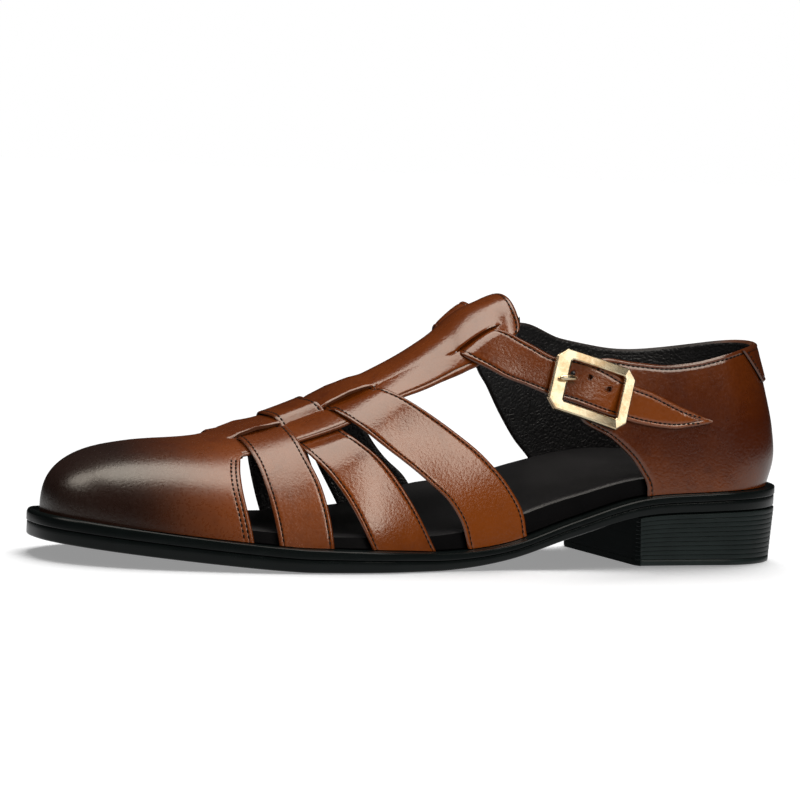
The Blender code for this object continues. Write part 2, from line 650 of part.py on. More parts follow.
def heel_tab(group):
    rows, columns = 5, 13
    outer, inner = [], []
    for v in np.linspace(0.0, 1.0, rows):
        reach = float(to_p(TAB_BOTTOM_STATION + (TAB_STATION - TAB_BOTTOM_STATION) * v))
        p = np.linspace(-reach, reach, columns)
        stations = to_station(np.abs(p))
        top = np.where(p < 0, curve(OUTER_TOP, stations), curve(INNER_TOP, stations)) - 0.3
        turns = turn_at_height(stations, TAB_BOTTOM + (top - TAB_BOTTOM) * v, np.where(p < 0, -1.0, 1.0))
        outer += place(stations, turns, GAP + TAB_WALL).tolist()
        inner += place(stations, turns, GAP).tolist()
    return walled("heel_tab", group, outer, inner, sheet_faces(rows, columns))


def finish(obj, mat):
    obj.data.materials.clear()
    obj.data.materials.append(mat)
    work = bmesh.new()
    work.from_mesh(obj.data)
    bmesh.ops.remove_doubles(work, verts=work.verts, dist=0.00002)
    bmesh.ops.triangulate(work, faces=[f for f in work.faces if len(f.verts) > 4])
    face_out(work)
    work.to_mesh(obj.data)
    work.free()


def main():
    for obj in list(bpy.data.objects):
        bpy.data.objects.remove(obj)
    parts = collection(NAME)
    cutters = collection("cutters")
    leather = material("tan_leather", (0.22, 0.07, 0.025), 0.35)
    rubber = material("black_sole", (0.015, 0.015, 0.016), 0.4)
    black = material("black_insole", (0.02, 0.02, 0.021), 0.5)
    brass = material("antique_brass", (0.55, 0.42, 0.22), 0.3, 1.0)

    split = 1.0 - WELT_SHARE

    def middle(station):
        return sole_under(station) + split * sole_thick(station)

    outsole = plate("outsole", parts, sole_under, lambda s: middle(s) - GAP, 0.4)
    welt = plate("welt", parts, middle, seat, 0.0)
    solids = [(outsole, rubber), (welt, rubber), (heel(parts), rubber), (top_lift(parts), rubber)]
    solids.append((footbed(parts), black))
    upper = vamp_and_bar(parts)
    pieces = [cross_strap(name, cutters) for name in STRAPS] + [quarter(cutters), ankle_strap(cutters)]
    join(upper, pieces)
    solids.append((upper, leather))
    solids.append((heel_tab(parts), leather))
    solids.append((buckle(parts), brass))
    solids.append((prong(parts), brass))
    for obj in cutters.objects:
        obj.hide_render = True
        obj.display_type = "WIRE"
    for obj, mat in solids:
        own = mat.copy()
        own.name = obj.name + "_" + mat.name
        finish(obj, own)
        print(obj.name, "triangles", sum(len(p.vertices) - 2 for p in obj.data.polygons))


main()
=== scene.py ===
# %% [markdown]
# # A roman sandal for the left foot
# The CAD model gives every piece its place. This lesson dresses it: thin leather with rolled edges and
# sewn seams, a black welted sole, a stacked heel and a brass buckle, under soft studio light. The frame
# comes first, because every later piece is measured against its box.

# %% Load the CAD model as a fixed frame
import math

import bpy
import numpy as np
from mathutils import Matrix, Vector


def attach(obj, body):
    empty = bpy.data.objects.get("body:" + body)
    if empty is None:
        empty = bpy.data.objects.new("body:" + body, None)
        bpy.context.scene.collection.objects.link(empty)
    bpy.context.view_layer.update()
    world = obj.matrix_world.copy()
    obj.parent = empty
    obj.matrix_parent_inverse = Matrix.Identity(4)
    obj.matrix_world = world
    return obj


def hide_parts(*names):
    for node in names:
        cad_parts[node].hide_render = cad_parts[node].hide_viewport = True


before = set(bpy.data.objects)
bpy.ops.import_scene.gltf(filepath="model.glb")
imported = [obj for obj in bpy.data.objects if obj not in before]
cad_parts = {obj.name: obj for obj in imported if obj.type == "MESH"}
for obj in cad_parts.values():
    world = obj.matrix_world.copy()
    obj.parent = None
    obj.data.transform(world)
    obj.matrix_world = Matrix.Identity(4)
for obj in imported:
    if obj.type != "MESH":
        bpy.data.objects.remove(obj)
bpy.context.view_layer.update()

MM = 0.001

# %% [markdown]
# ## The last
# A shoe is made over a last, a solid foot shape. It could be sculpted, but a few short tables give the
# same form exactly and can be read again by every strap. Stations run from the heel to the toe in
# millimetres, and turn goes from the outer side (0) over the crown (0.5) to the inner side (1).

# %% Sizes and tables of the last
LENGTH, BALL_WIDTH, INSTEP_HEIGHT, HEEL_HEIGHT, COLLAR_HEIGHT = 302.0, 102.4, 90.0, 21.7, 55.5
GAP, UPPER_BACK, UPPER_TIP = 0.35, 3.6, 297.6
# station %, half width %, centre %
SOLE_PLAN = (
    (0.0, 32.4, 0.0), (11.6, 32.4, 0.0), (23.8, 33.2, -0.4), (38.1, 34.0, -4.2),
    (49.7, 39.7, -4.3), (62.9, 48.6, -2.1), (70.2, 50.0, 0.5), (77.8, 47.9, 2.8),
    (86.8, 41.8, 5.6), (100.0, 32.1, 8.7),
)
SOLE_HEEL_ROUND, SOLE_TOE_ROUND, TOE_POWER = 34.0, 44.0, 2.4
# station %, underside % of the heel height, sole thickness mm
SOLE_SIDE = (
    (0.0, 100.0, 7.9), (13.2, 95.0, 7.3), (23.8, 86.2, 6.8), (33.1, 54.4, 6.1),
    (43.0, 16.1, 5.6), (51.3, 1.4, 6.4), (57.9, 0.0, 7.3), (71.2, 0.0, 8.4),
    (81.1, 8.8, 8.8), (91.1, 20.3, 9.0), (100.0, 30.4, 9.0),
)
# station %, half width %, centre %, crown %, crown shift mm, side power, crown power
LAST = (
    (0.0, 29.1, 0.0, 124.4, 0.0, 3.4, 1.6), (11.6, 29.1, 0.0, 123.3, 0.0, 3.4, 1.6),
    (23.8, 29.3, -0.4, 116.7, 0.0, 3.0, 1.6), (31.5, 29.1, -2.5, 106.7, 2.0, 2.5, 1.6),
    (38.7, 29.5, -4.2, 100.3, 4.0, 2.2, 1.7), (44.0, 31.3, -4.5, 97.1, 5.0, 2.0, 1.8),
    (49.7, 34.6, -4.3, 84.6, 5.0, 1.9, 1.85), (56.3, 39.3, -3.4, 70.9, 5.0, 1.9, 1.9),
    (62.9, 43.2, -2.1, 58.6, 5.0, 2.0, 1.95), (70.2, 44.5, 0.5, 47.6, 5.0, 2.1, 2.0),
    (77.8, 42.4, 2.8, 39.0, 4.0, 2.3, 2.1), (86.8, 36.3, 5.6, 33.6, 2.0, 2.5, 2.3),
    (98.5, 27.7, 8.4, 23.3, 0.0, 2.7, 2.5),
)
LAST_HEEL_ROUND, LAST_TOE_ROUND, TOE_RISE_ROUND, TOE_RISE_POWER = 30.5, 40.0, 29.0, 3.05
BACK_CURVE = ((0.0, 0.0), (18.0, -2.6), (40.0, -1.6), (65.0, 1.9), (101.0, 8.2), (216.0, 16.0))


# %% Functions that read the tables
def curve(rows, x, column=1):
    data = np.array(rows, float)
    knots, values = data[:, 0], data[:, column]
    slopes = np.gradient(values, knots)
    x = np.clip(np.asarray(x, float), knots[0], knots[-1])
    i = np.clip(np.searchsorted(knots, x, side="right") - 1, 0, len(knots) - 2)
    span = knots[i + 1] - knots[i]
    t = (x - knots[i]) / span
    rise = values[i] * (2 * t**3 - 3 * t**2 + 1) + values[i + 1] * (3 * t**2 - 2 * t**3)
    return rise + span * (slopes[i] * (t**3 - 2 * t**2 + t) + slopes[i + 1] * (t**3 - t**2))


def soft_line(rows, x, column=1, width=1.2):
    data = np.array(rows, float)
    steps = np.linspace(-width, width, 7)
    return np.mean([np.interp(np.asarray(x) + d, data[:, 0], data[:, column]) for d in steps], axis=0)


def share(station):
    return 100.0 * np.asarray(station, float) / LENGTH


def rounded(t, power):
    t = np.clip(t, 0.0, 1.0)
    return (1.0 - t**power) ** (1.0 / power)


def sole_half(station):
    ends = rounded((SOLE_HEEL_ROUND - station) / SOLE_HEEL_ROUND, 2.0)
    ends = ends * rounded((station - LENGTH + SOLE_TOE_ROUND) / SOLE_TOE_ROUND, TOE_POWER)
    return curve(SOLE_PLAN, share(station), 1) * BALL_WIDTH / 100.0 * ends


def sole_centre(station):
    return curve(SOLE_PLAN, share(station), 2) * BALL_WIDTH / 100.0


def sole_under(station):
    return np.maximum(curve(SOLE_SIDE, share(station), 1) * HEEL_HEIGHT / 100.0, 0.0)


def sole_thick(station):
    return curve(SOLE_SIDE, share(station), 2)


def seat(station):
    return sole_under(station) + sole_thick(station)


# %% The outer face of the upper, and points at a level above it
def to_p(station):
    t = np.clip((np.asarray(station, float) - UPPER_BACK) / (UPPER_TIP - UPPER_BACK), 0.0, 1.0)
    return np.arccos(1.0 - 2.0 * t) / np.pi


def to_station(p):
    return UPPER_BACK + (UPPER_TIP - UPPER_BACK) * 0.5 * (1.0 - np.cos(np.pi * np.asarray(p, float)))


def crown(station):
    rise = rounded((station - UPPER_TIP + TOE_RISE_ROUND) / TOE_RISE_ROUND, TOE_RISE_POWER)
    return curve(LAST, share(station), 3) * INSTEP_HEIGHT / 100.0 * np.maximum(rise, 1e-4)


def surface(station, turn):
    station, turn = np.broadcast_arrays(np.asarray(station, float), np.asarray(turn, float))
    at = share(station)
    ends = rounded((UPPER_BACK + LAST_HEEL_ROUND - station) / LAST_HEEL_ROUND, 2.0)
    ends = ends * rounded((station - UPPER_TIP + LAST_TOE_ROUND) / LAST_TOE_ROUND, TOE_POWER)
    half = curve(LAST, at, 1) * BALL_WIDTH / 100.0 * ends
    centre = curve(LAST, at, 2) * BALL_WIDTH / 100.0
    c = np.cos(np.pi * turn)
    rise = np.abs(np.sin(np.pi * turn)) ** (2.0 / curve(LAST, at, 6))
    height = crown(station) * rise
    y = centre - np.sign(c) * half * np.abs(c) ** (2.0 / curve(LAST, at, 5)) + curve(LAST, at, 4) * rise
    fade = np.clip((100.0 - station) / 90.0, 0.0, 1.0) ** 1.5
    lean = curve(BACK_CURVE, 100.0 * height / COLLAR_HEIGHT) * fade
    return np.stack([LENGTH / 2.0 - station - lean, y, seat(station) + GAP + height], -1)


def normal(station, turn):
    p = np.clip(to_p(station), 0.004, 0.996)
    turn = np.clip(turn, 0.004, 0.996)
    along = surface(to_station(p + 0.002), turn) - surface(to_station(p - 0.002), turn)
    around = surface(to_station(p), turn + 0.002) - surface(to_station(p), turn - 0.002)
    n = np.cross(around, along)
    return n / (np.linalg.norm(n, axis=-1, keepdims=True) + 1e-12)


def place(station, turn, level=0.0):
    station, turn, level = np.broadcast_arrays(
        np.asarray(station, float), np.asarray(turn, float), np.asarray(level, float))
    point = surface(station, turn) + normal(station, turn) * level[..., None]
    point[..., 2] = np.maximum(point[..., 2], seat(station) + GAP)
    return point


def turn_at_height(station, height, side):
    up = np.clip(height / crown(station), 0.0, 1.0) ** (curve(LAST, share(station), 6) / 2.0)
    turn = np.arcsin(up) / np.pi
    return np.where(side < 0, turn, 1.0 - turn)


# %% Distances round the foot, from the crown
ARC_STATIONS = np.linspace(60.0, 290.0, 231)
ARC_TURNS = np.linspace(0.0, 1.0, 241)
rings = surface(ARC_STATIONS[:, None], ARC_TURNS[None, :])
ARC_RUN = np.zeros(rings.shape[:2])
ARC_RUN[:, 1:] = np.cumsum(np.linalg.norm(np.diff(rings, axis=1), axis=2), axis=1)
ARC_RUN -= ARC_RUN[:, 120:121]


def turn_at_arc(station, arc):
    station, arc = np.broadcast_arrays(np.asarray(station, float), np.asarray(arc, float))
    at = np.clip(station - ARC_STATIONS[0], 0.0, len(ARC_STATIONS) - 1.001)
    low = at.astype(int)
    out = np.empty(station.shape)
    for k in np.unique(low):
        here = low == k
        part = at[here] - k
        first = np.interp(arc[here], ARC_RUN[k], ARC_TURNS)
        out[here] = first * (1 - part) + np.interp(arc[here], ARC_RUN[k + 1], ARC_TURNS) * part
    return out


def arc_at(station, turn):
    station, turn = np.broadcast_arrays(np.asarray(station, float), np.asarray(turn, float))
    a = np.clip(station - ARC_STATIONS[0], 0.0, len(ARC_STATIONS) - 1.001)
    b = np.clip(turn * 240.0, 0.0, 239.999)
    i, j = a.astype(int), b.astype(int)
    a, b = a - i, b - j
    near = ARC_RUN[i, j] * (1 - b) + ARC_RUN[i, j + 1] * b
    return near * (1 - a) + (ARC_RUN[i + 1, j] * (1 - b) + ARC_RUN[i + 1, j + 1] * b) * a


print("girth at the ball, mm:", round(float(ARC_RUN[152, -1] - ARC_RUN[152, 0]), 1))

# %% [markdown]
# ## One way to lay leather
# A strap could be a curve with a flat bevel, or cloth draped over the last. Here it starts as a grid
# primitive and each of its vertices is laid on the last, so its edges follow the photograph and its rows
# can crowd where an edge rolls over or a seam sinks in. A Solidify modifier gives it its thickness, with a
# lining inside and a painted edge round the rim.

# %% Grid pieces
LEATHER = 1.5


def grid_piece(name, points, facts=None, wrap=False):
    """A grid primitive with a vertex at each point of a table: rows first, then columns."""
    bpy.ops.object.select_all(action="DESELECT")
    rows, columns = points.shape[0] - 1, points.shape[1] - 1
    bpy.ops.mesh.primitive_grid_add(x_subdivisions=columns, y_subdivisions=rows, size=2.0)
    piece = bpy.context.object
    piece.name = name
    piece.data.name = name
    flat = np.empty(len(piece.data.vertices) * 3)
    piece.data.vertices.foreach_get("co", flat)
    j = np.rint((flat[0::3] + 1.0) / 2.0 * columns).astype(int)
    i = np.rint((flat[1::3] + 1.0) / 2.0 * rows).astype(int)
    piece.data.vertices.foreach_set("co", (points[i, j] * MM).ravel())
    for key, values in (facts or {}).items():
        layer = piece.data.attributes.new(key, "FLOAT", "POINT")
        layer.data.foreach_set("value", values[i, j].astype(np.float32))
    piece.data.update()
    if wrap:
        weld(piece)
    return piece


def weld(piece, distance=0.02):
    bpy.context.view_layer.objects.active = piece
    bpy.ops.object.mode_set(mode="EDIT")
    bpy.ops.mesh.select_all(action="SELECT")
    bpy.ops.mesh.remove_doubles(threshold=distance * MM)
    bpy.ops.mesh.normals_make_consistent(inside=False)
    bpy.ops.object.mode_set(mode="OBJECT")


def face_away(piece):
    """Turn the faces of an open sheet away from the inside of the shoe."""
    mesh = piece.data
    middle = np.array([face.center for face in mesh.polygons])
    facing = np.array([face.normal for face in mesh.polygons])
    station = LENGTH / 2.0 - middle[:, 0] / MM
    axis = np.stack([middle[:, 0], sole_centre(station) * MM, (seat(station) + 12.0) * MM], 1)
    heel = station < 45.0
    axis[heel, 0] = (LENGTH / 2.0 - 45.0) * MM
    if np.sum((middle - axis) * facing) < 0:
        bpy.context.view_layer.objects.active = piece
        bpy.ops.object.mode_set(mode="EDIT")
        bpy.ops.mesh.select_all(action="SELECT")
        bpy.ops.mesh.flip_normals()
        bpy.ops.object.mode_set(mode="OBJECT")


def join(name, pieces):
    bpy.ops.object.select_all(action="DESELECT")
    for piece in pieces:
        piece.select_set(True)
    bpy.context.view_layer.objects.active = pieces[0]
    bpy.ops.object.join()
    pieces[0].name = name
    return pieces[0]


def wall(piece, finishes, thick=LEATHER):
    """Leather outside, lining inside, painted rim."""
    face_away(piece)
    for finish in finishes:
        piece.data.materials.append(finish)
    solid = piece.modifiers.new("wall", "SOLIDIFY")
    solid.thickness = thick * MM
    solid.offset = -1.0
    solid.material_offset = 1
    solid.material_offset_rim = 2
    bpy.context.view_layer.objects.active = piece
    bpy.ops.object.modifier_apply(modifier="wall")
    return piece


def hand_over(piece, slot, *nodes, angle=40.0):
    """Smooth shading, then the piece rides on the shoe's one body and stands for its CAD nodes."""
    bpy.ops.object.select_all(action="DESELECT")
    piece.select_set(True)
    bpy.context.view_layer.objects.active = piece
    bpy.ops.object.shade_smooth_by_angle(angle=math.radians(angle))
    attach(piece, "root")
    if nodes:
        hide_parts(*nodes)
    faces = sum(len(face.vertices) - 2 for face in piece.data.polygons)
    print(piece.name, faces, "triangles")
    return piece


# %% Rolled edges and sunk seams
SEAM = 1.75
CROWDED = np.array([0.0, 0.2, 0.45, 0.75, 1.1, 1.45, SEAM, 2.05, 2.45, 3.2])
# the line of CROWDED that lies on the seam, and its columns at both edges of a strap
SEAM_AT = 6
SEAM_COLUMNS = (SEAM_AT, -SEAM_AT - 1)
# columns between the crowded edges, and the width below which those edges are squeezed
MIDDLE_COLUMNS, FULL_WIDTH = 7, 8.4


def sunk(d, seam=SEAM):
    return -0.2 * np.exp(-(((d - seam) / 0.32) ** 2))


def relief(d):
    """Height of the leather at a distance from its edge: rolled over, a bead, then the sunk seam."""
    roll = np.clip((0.7 - d) / 0.7, 0.0, 1.0) ** 2
    return 0.06 * np.exp(-(((d - 0.95) / 0.5) ** 2)) - 0.5 * roll + sunk(d)


def run_of(points, axis, back=False):
    """Distance along the rows or columns of a grid of points, from its first or last line."""
    if back:
        points = np.flip(points, axis)
    step = np.linalg.norm(np.diff(points, axis=axis), axis=2)
    run = np.zeros(points.shape[:2])
    if axis == 0:
        run[1:] = np.cumsum(step, axis=0)
    else:
        run[:, 1:] = np.cumsum(step, axis=1)
    return np.flip(run, axis) if back else run


def crowded(width):
    """Columns across a strap, crowded at both edges, as distances from its first edge."""
    offsets = CROWDED * min(1.0, width / FULL_WIDTH)
    inner = np.linspace(offsets[-1], width - offsets[-1], MIDDLE_COLUMNS + 2)[1:-1]
    return np.concatenate([offsets, inner, (width - offsets)[::-1]])


# %% [markdown]
# ## Writing shaders as sums
# A material could be wired by hand in the node editor. A small class that turns + and * into Math nodes
# keeps the same wiring readable: each line below is one idea, such as grain, burnish or wear.

# %% A wire that can be added and multiplied
class Wire:
    def __init__(self, finish, socket):
        self.finish, self.socket = finish, socket

    def math(self, operation, other=0.0, swap=False):
        pair = {0: other, 1: self} if swap else {0: self, 1: other}
        return self.finish.add("ShaderNodeMath", {"operation": operation}, pair)

    def __add__(self, other):
        return self.math("ADD", other)

    def __sub__(self, other):
        return self.math("SUBTRACT", other)

    def __rsub__(self, other):
        return self.math("SUBTRACT", other, swap=True)

    def __mul__(self, other):
        return self.math("MULTIPLY", other)

    def __truediv__(self, other):
        return self.math("DIVIDE", other)

    __radd__ = __add__

    def between(self, low, high):
        """0 below low, 1 above high, smooth between."""
        settings = {"interpolation_type": "SMOOTHSTEP"}
        return self.finish.add("ShaderNodeMapRange", settings, {0: self, 1: low, 2: high, 3: 0.0, 4: 1.0})

    def bell(self, middle, width):
        """1 at the middle value, falling to 0 a width away on both sides."""
        return 1.0 - ((self - middle).math("ABSOLUTE") / width).between(0.0, 1.0)


class Finish:
    def __init__(self, name, **sockets):
        self.material = bpy.data.materials.new(name)
        self.material.use_nodes = True
        self.tree = self.material.node_tree
        self.shader = self.tree.nodes["Principled BSDF"]
        for socket, value in sockets.items():
            self.feed(socket.replace("_", " ").title().replace("Ior", "IOR"), value)

    def add(self, kind, settings=None, inputs=None, output=0):
        node = self.tree.nodes.new(kind)
        for key, value in (settings or {}).items():
            setattr(node, key, value)
        for key, value in (inputs or {}).items():
            self.link(node.inputs[key], value)
        return Wire(self, node.outputs[output])

    def link(self, socket, value):
        if isinstance(value, Wire):
            self.tree.links.new(value.socket, socket)
        elif isinstance(value, tuple) and len(value) == 3 and socket.type == "RGBA":
            socket.default_value = (*value, 1.0)
        else:
            socket.default_value = value

    def feed(self, name, value):
        self.link(self.shader.inputs[name], value)

    def place(self):
        return self.add("ShaderNodeTexCoord", output="Object")

    def fact(self, name):
        return self.add("ShaderNodeAttribute", {"attribute_name": name}, output="Fac")

    def noise(self, scale, detail=3.0, rough=0.5, where=None):
        inputs = {"Vector": where or self.place(), "Scale": scale, "Detail": detail, "Roughness": rough}
        return self.add("ShaderNodeTexNoise", None, inputs, output="Fac")

    def cells(self, scale):
        inputs = {"Vector": self.place(), "Scale": scale}
        return self.add("ShaderNodeTexVoronoi", {"feature": "DISTANCE_TO_EDGE"}, inputs, output="Distance")

    def axes(self):
        split = self.add("ShaderNodeSeparateXYZ", None, {0: self.place()})
        return [Wire(self, socket) for socket in split.socket.node.outputs]

    def stretched(self, scale):
        return self.add("ShaderNodeMapping", None, {"Vector": self.place(), "Scale": scale})

    def mix(self, share_of, first, second):
        """Colour from first to second as the share goes from 0 to 1."""
        return self.add("ShaderNodeMix", {"data_type": "RGBA"}, {0: share_of, 6: first, 7: second}, output=2)

    def bump(self, height, strength, depth_mm):
        inputs = {"Height": height, "Strength": strength, "Distance": depth_mm * MM}
        self.feed("Normal", self.add("ShaderNodeBump", None, inputs))


def deepened(colour, depth):
    """A colour made darker by a depth below 1, or paler by one above it."""
    return tuple(depth * part for part in colour)


# %% [markdown]
# ## Leather, lining and edge paint
# The upper is smooth calf leather, dyed tan, burnished almost black at the toe and polished. A flat brown
# would look like plastic, so the colour drifts in soft clouds, darkens towards the toe and along its
# edges, and a fine grain breaks up the gloss. The sunk seams are darkened almost to black as painted
# shade, and low on the sides light from the bright floor is painted in as paler leather. The lining is
# black and pebbled. The cut edges are painted brown, and black on the inner side.

# %% The tan leather
def tan_leather():
    leather = Finish("tan_leather", specular_ior_level=0.85, specular_tint=(1.0, 0.955, 0.885, 1.0))
    x = leather.axes()[0]
    clouds = leather.noise(28.0, 4.0, 0.55)
    brushed = leather.noise(160.0, 3.0, 0.6)
    grain = leather.noise(950.0, 1.0, 0.5)
    creases = leather.noise(1.0, 3.0, 0.6, leather.stretched((45.0, 190.0, 190.0)))
    pores = leather.cells(1250.0)
    rim = leather.fact("rim")
    # the leather's own tone, plus painted light from the bright floor where pieces are painted paler low
    # down
    tone_and_floor_light = leather.fact("tone_and_floor_light") + (clouds - 0.5) * 0.7
    tone_and_floor_light = tone_and_floor_light - brushed.between(0.45, 0.8) * 0.12 + (grain - 0.5) * 0.15
    tan = leather.mix(tone_and_floor_light.between(0.0, 1.0), (0.055, 0.0088, 0.0010), (0.190, 0.0430, 0.0042))
    toe = (0.0 - x + clouds * 0.024 - 0.012).between(0.080, 0.126)
    brown = leather.mix(toe * 0.95, tan, (0.0085, 0.0042, 0.0036))
    # darker within about a millimetre of the rim, where the edge rolls over
    away_from_rim = rim.between(0.2, 1.1)
    brown = leather.mix((1.0 - away_from_rim) * 0.4, brown, (0.030, 0.008, 0.003))
    # painted shade: the leather in the sunk seam is darkened almost to black
    brown = leather.mix(rim.bell(SEAM, 0.42) * 0.75, brown, (0.006, 0.002, 0.001))
    leather.feed("Base Color", brown)
    waxed = (0.0 - x).between(0.040, 0.085)
    leather.feed("Roughness", 0.09 + brushed * 0.06 + grain * 0.14 + waxed * 0.10)
    leather.bump(grain * 1.05 + pores.between(0.0, 0.3) * 0.1 + brushed * 0.5 + creases * 0.5, 0.36, 0.13)
    return leather.material


def black_lining():
    lining = Finish("black_lining", ior=1.45, specular_ior_level=0.65)
    folds = lining.noise(120.0, 4.0, 0.6)
    pebble = lining.cells(620.0)
    lining.feed("Base Color", lining.mix(folds, (0.006, 0.006, 0.0065), (0.015, 0.015, 0.016)))
    lining.feed("Roughness", 0.36 + folds * 0.14)
    lining.bump(pebble.between(0.0, 0.3) * 0.8 + folds * 0.5, 0.6, 0.35)
    return lining.material


def edge_paint():
    paint = Finish("edge_paint", ior=1.45)
    spots = paint.noise(300.0, 3.0)
    brown = paint.mix(spots, (0.060, 0.020, 0.009), (0.150, 0.055, 0.026))
    inner_side = paint.axes()[1].between(0.008, 0.018)
    paint.feed("Base Color", paint.mix(inner_side * 0.95, brown, (0.008, 0.007, 0.007)))
    paint.feed("Roughness", 0.36 + spots * 0.14)
    return paint.material


LEATHERS = [tan_leather(), black_lining(), edge_paint()]
print("leather finishes:", [finish.name for finish in LEATHERS])

# %% [markdown]
# ## Vamp and centre bar
# The closed toe and the bar up the instep are one cut of leather. Two slits run beside the ridge of the
# bar, and the straps pass through them. A Boolean could cut the slits, but would leave no rows at their
# edges to roll over. So the bar is laid as three strips: where a slit is closed their edges coincide and
# are welded, and where a strap lifts the ridge they stay apart.

# %% Tables of the bar and its slits
VAMP_EDGE = ((0.0, 233.5), (0.1, 235.2), (0.17, 235.6), (0.25, 234.4), (0.3, 232.6), (0.34, 231.0))
BAR_ROOT, BAR_END, INNER_VAMP_SHIFT = 231.0, 116.4, 4.0
# share of the half width from the outer to the inner edge, station of the tongue's end
TONGUE_END = (
    (-1.0, 123.0), (-0.97, 120.8), (-0.93, 119.2), (-0.87, 118.2), (-0.78, 117.8), (-0.6, 118.1),
    (-0.4, 118.6), (-0.2, 119.2), (0.0, 120.0), (0.2, 121.0), (0.4, 122.4), (0.6, 124.4), (0.8, 127.0),
    (1.0, 131.0),
)
# station, half width, ridge on the outer side, ridge on the inner side
BAR = (
    (115.0, 23.4, 17.0, 7.5), (122.5, 24.2, 17.2, 7.5), (127.0, 26.0, 17.4, 7.5),
    (132.0, 28.0, 17.8, 7.5), (137.6, 28.9, 17.8, 7.5), (140.8, 28.0, 17.6, 7.5),
    (144.0, 27.2, 17.2, 7.5), (148.0, 26.0, 15.6, 8.5), (152.0, 25.2, 13.6, 9.5),
    (156.0, 24.8, 12.6, 10.4), (160.0, 24.4, 12.0, 11.0), (167.0, 23.7, 12.0, 11.8),
    (171.0, 23.6, 12.0, 12.0), (175.5, 24.0, 11.8, 11.8), (192.5, 26.6, 11.5, 11.5),
    (208.0, 27.0, 11.5, 11.5), (229.0, 27.5, 11.5, 11.5), (245.0, 28.0, 11.5, 11.5),
)
# station, lift of the ridge's middle, then lift and margin at the outer slit and at the inner slit
LIFT = (
    (115.0, 0.4, 0.0, 0.0, 0.0, 0.0), (122.0, 0.5, 0.0, 0.0, 0.0, 0.0),
    (125.6, 0.5, 0.0, 0.0, 0.0, 0.0), (128.0, 0.2, 1.1, -0.4, 0.0, 0.0),
    (130.0, 0.1, 1.5, -0.5, 0.0, 0.0), (132.0, 0.3, 1.7, -0.6, 0.9, -0.3),
    (136.0, 0.6, 1.7, -0.6, 1.0, -0.4), (139.0, 0.7, 1.7, -0.5, 1.0, -0.4),
    (142.3, 0.6, 1.1, -0.3, 0.9, -0.3), (143.7, 0.4, 0.0, 0.0, 0.0, 0.0),
    (147.0, 0.3, 0.0, 0.0, 0.0, 0.0), (160.0, 0.3, 0.0, 0.0, 0.0, 0.0),
    (174.6, 0.5, 0.0, 0.0, 0.0, 0.0), (177.5, 1.6, 1.7, -1.2, 1.7, -1.2),
    (184.0, 2.0, 2.6, -1.7, 2.6, -1.7), (192.5, 1.8, 1.8, -1.4, 1.8, -1.4),
    (196.0, 1.1, 0.2, 0.0, 0.2, 0.0), (208.5, 1.0, 0.2, 0.0, 0.2, 0.0),
    (212.0, 1.4, 1.2, -1.4, 1.2, -1.4), (220.0, 1.5, 2.3, -1.8, 2.3, -1.8),
    (227.0, 1.3, 1.3, -1.4, 1.3, -1.4), (229.6, 0.9, 0.0, 0.0, 0.0, 0.0),
    (236.0, 0.0, 0.0, 0.0, 0.0, 0.0), (300.0, 0.0, 0.0, 0.0, 0.0, 0.0),
)


def ridge_level(station, arc, half):
    middle = soft_line(LIFT, station, 1, 2.0)
    edge = np.where(arc < 0.0, soft_line(LIFT, station, 2, 0.8), soft_line(LIFT, station, 4, 0.8))
    towards_edge = np.clip(np.abs(arc) / half, 0.0, 1.0) ** 4
    return middle + (edge - middle) * towards_edge + slit_groove(station, arc, half)


def margin_level(station, arc, half):
    dip = np.where(arc < 0.0, soft_line(LIFT, station, 3, 0.8), soft_line(LIFT, station, 5, 0.8))
    level = dip * np.clip((half + 5.0 - np.abs(arc)) / 5.0, 0.0, 1.0) ** 1.4
    return level + slit_groove(station, arc, half)


def slit_groove(station, arc, half):
    """The cut runs on a little past the strap, as a fine closed line."""
    cuts = ((137.4, 9.8), (185.0, 12.5), (220.0, 12.0))
    reach = sum(np.clip(wide - np.abs(station - at), 0.0, 1.0) for at, wide in cuts)
    return -0.4 * reach * np.exp(-(((np.abs(arc) - half) / 0.4) ** 2))


def tongue_drop(station):
    return -1.5 * np.clip((124.0 - station) / 6.0, 0.0, 1.0) ** 2


# %% Strips of the bar
bar_mm = np.concatenate([CROWDED, np.linspace(4.5, BAR_ROOT - BAR_END, 120)])
bar_share = bar_mm / bar_mm[-1]
nominal = BAR_END + bar_mm
edge_station = TONGUE_END[0][1] + (BAR_ROOT - TONGUE_END[0][1]) * bar_share
bar_half = curve(BAR, edge_station)
outer_ridge, inner_ridge = (curve(BAR, nominal, column) for column in (2, 3))
RIDGE_COLUMNS = np.concatenate([
    [0.0, 0.012, 0.025, 0.045], np.linspace(0.07, 0.93, 29), [0.955, 0.975, 0.988, 1.0]])


def strip(name, arcs, level_of, from_side):
    """One strip of the bar from a table of distances from the crown, tongue end first."""
    end = curve(TONGUE_END, arcs / bar_half[:, None])
    station = end + (BAR_ROOT - end) * bar_share[:, None]
    turn = turn_at_arc(station, arcs)
    half = np.where(arcs < 0.0, outer_ridge[:, None], inner_ridge[:, None])
    level = level_of(station, arcs, half) + tongue_drop(station)
    base = place(station, turn, level)
    d = np.minimum(run_of(base, 0), from_side)
    points = place(station, turn, level + relief(d))
    tongue_seam.append((points[SEAM_AT], normal(station, turn)[SEAM_AT]))
    tone_and_floor_light = 0.42 + 0.1 * np.clip((np.abs(arcs) - 12.0) / 10.0, 0.0, 1.0)
    return grid_piece(name, points, {"rim": np.minimum(d, 30.0), "tone_and_floor_light": tone_and_floor_light})


def margin_columns(ridge):
    return np.array([
        np.concatenate([h - CROWDED, np.linspace(h - CROWDED[-1], r, 13)[1:-1], [r + 0.4, r + 0.15, r]])
        for h, r in zip(bar_half, ridge)])


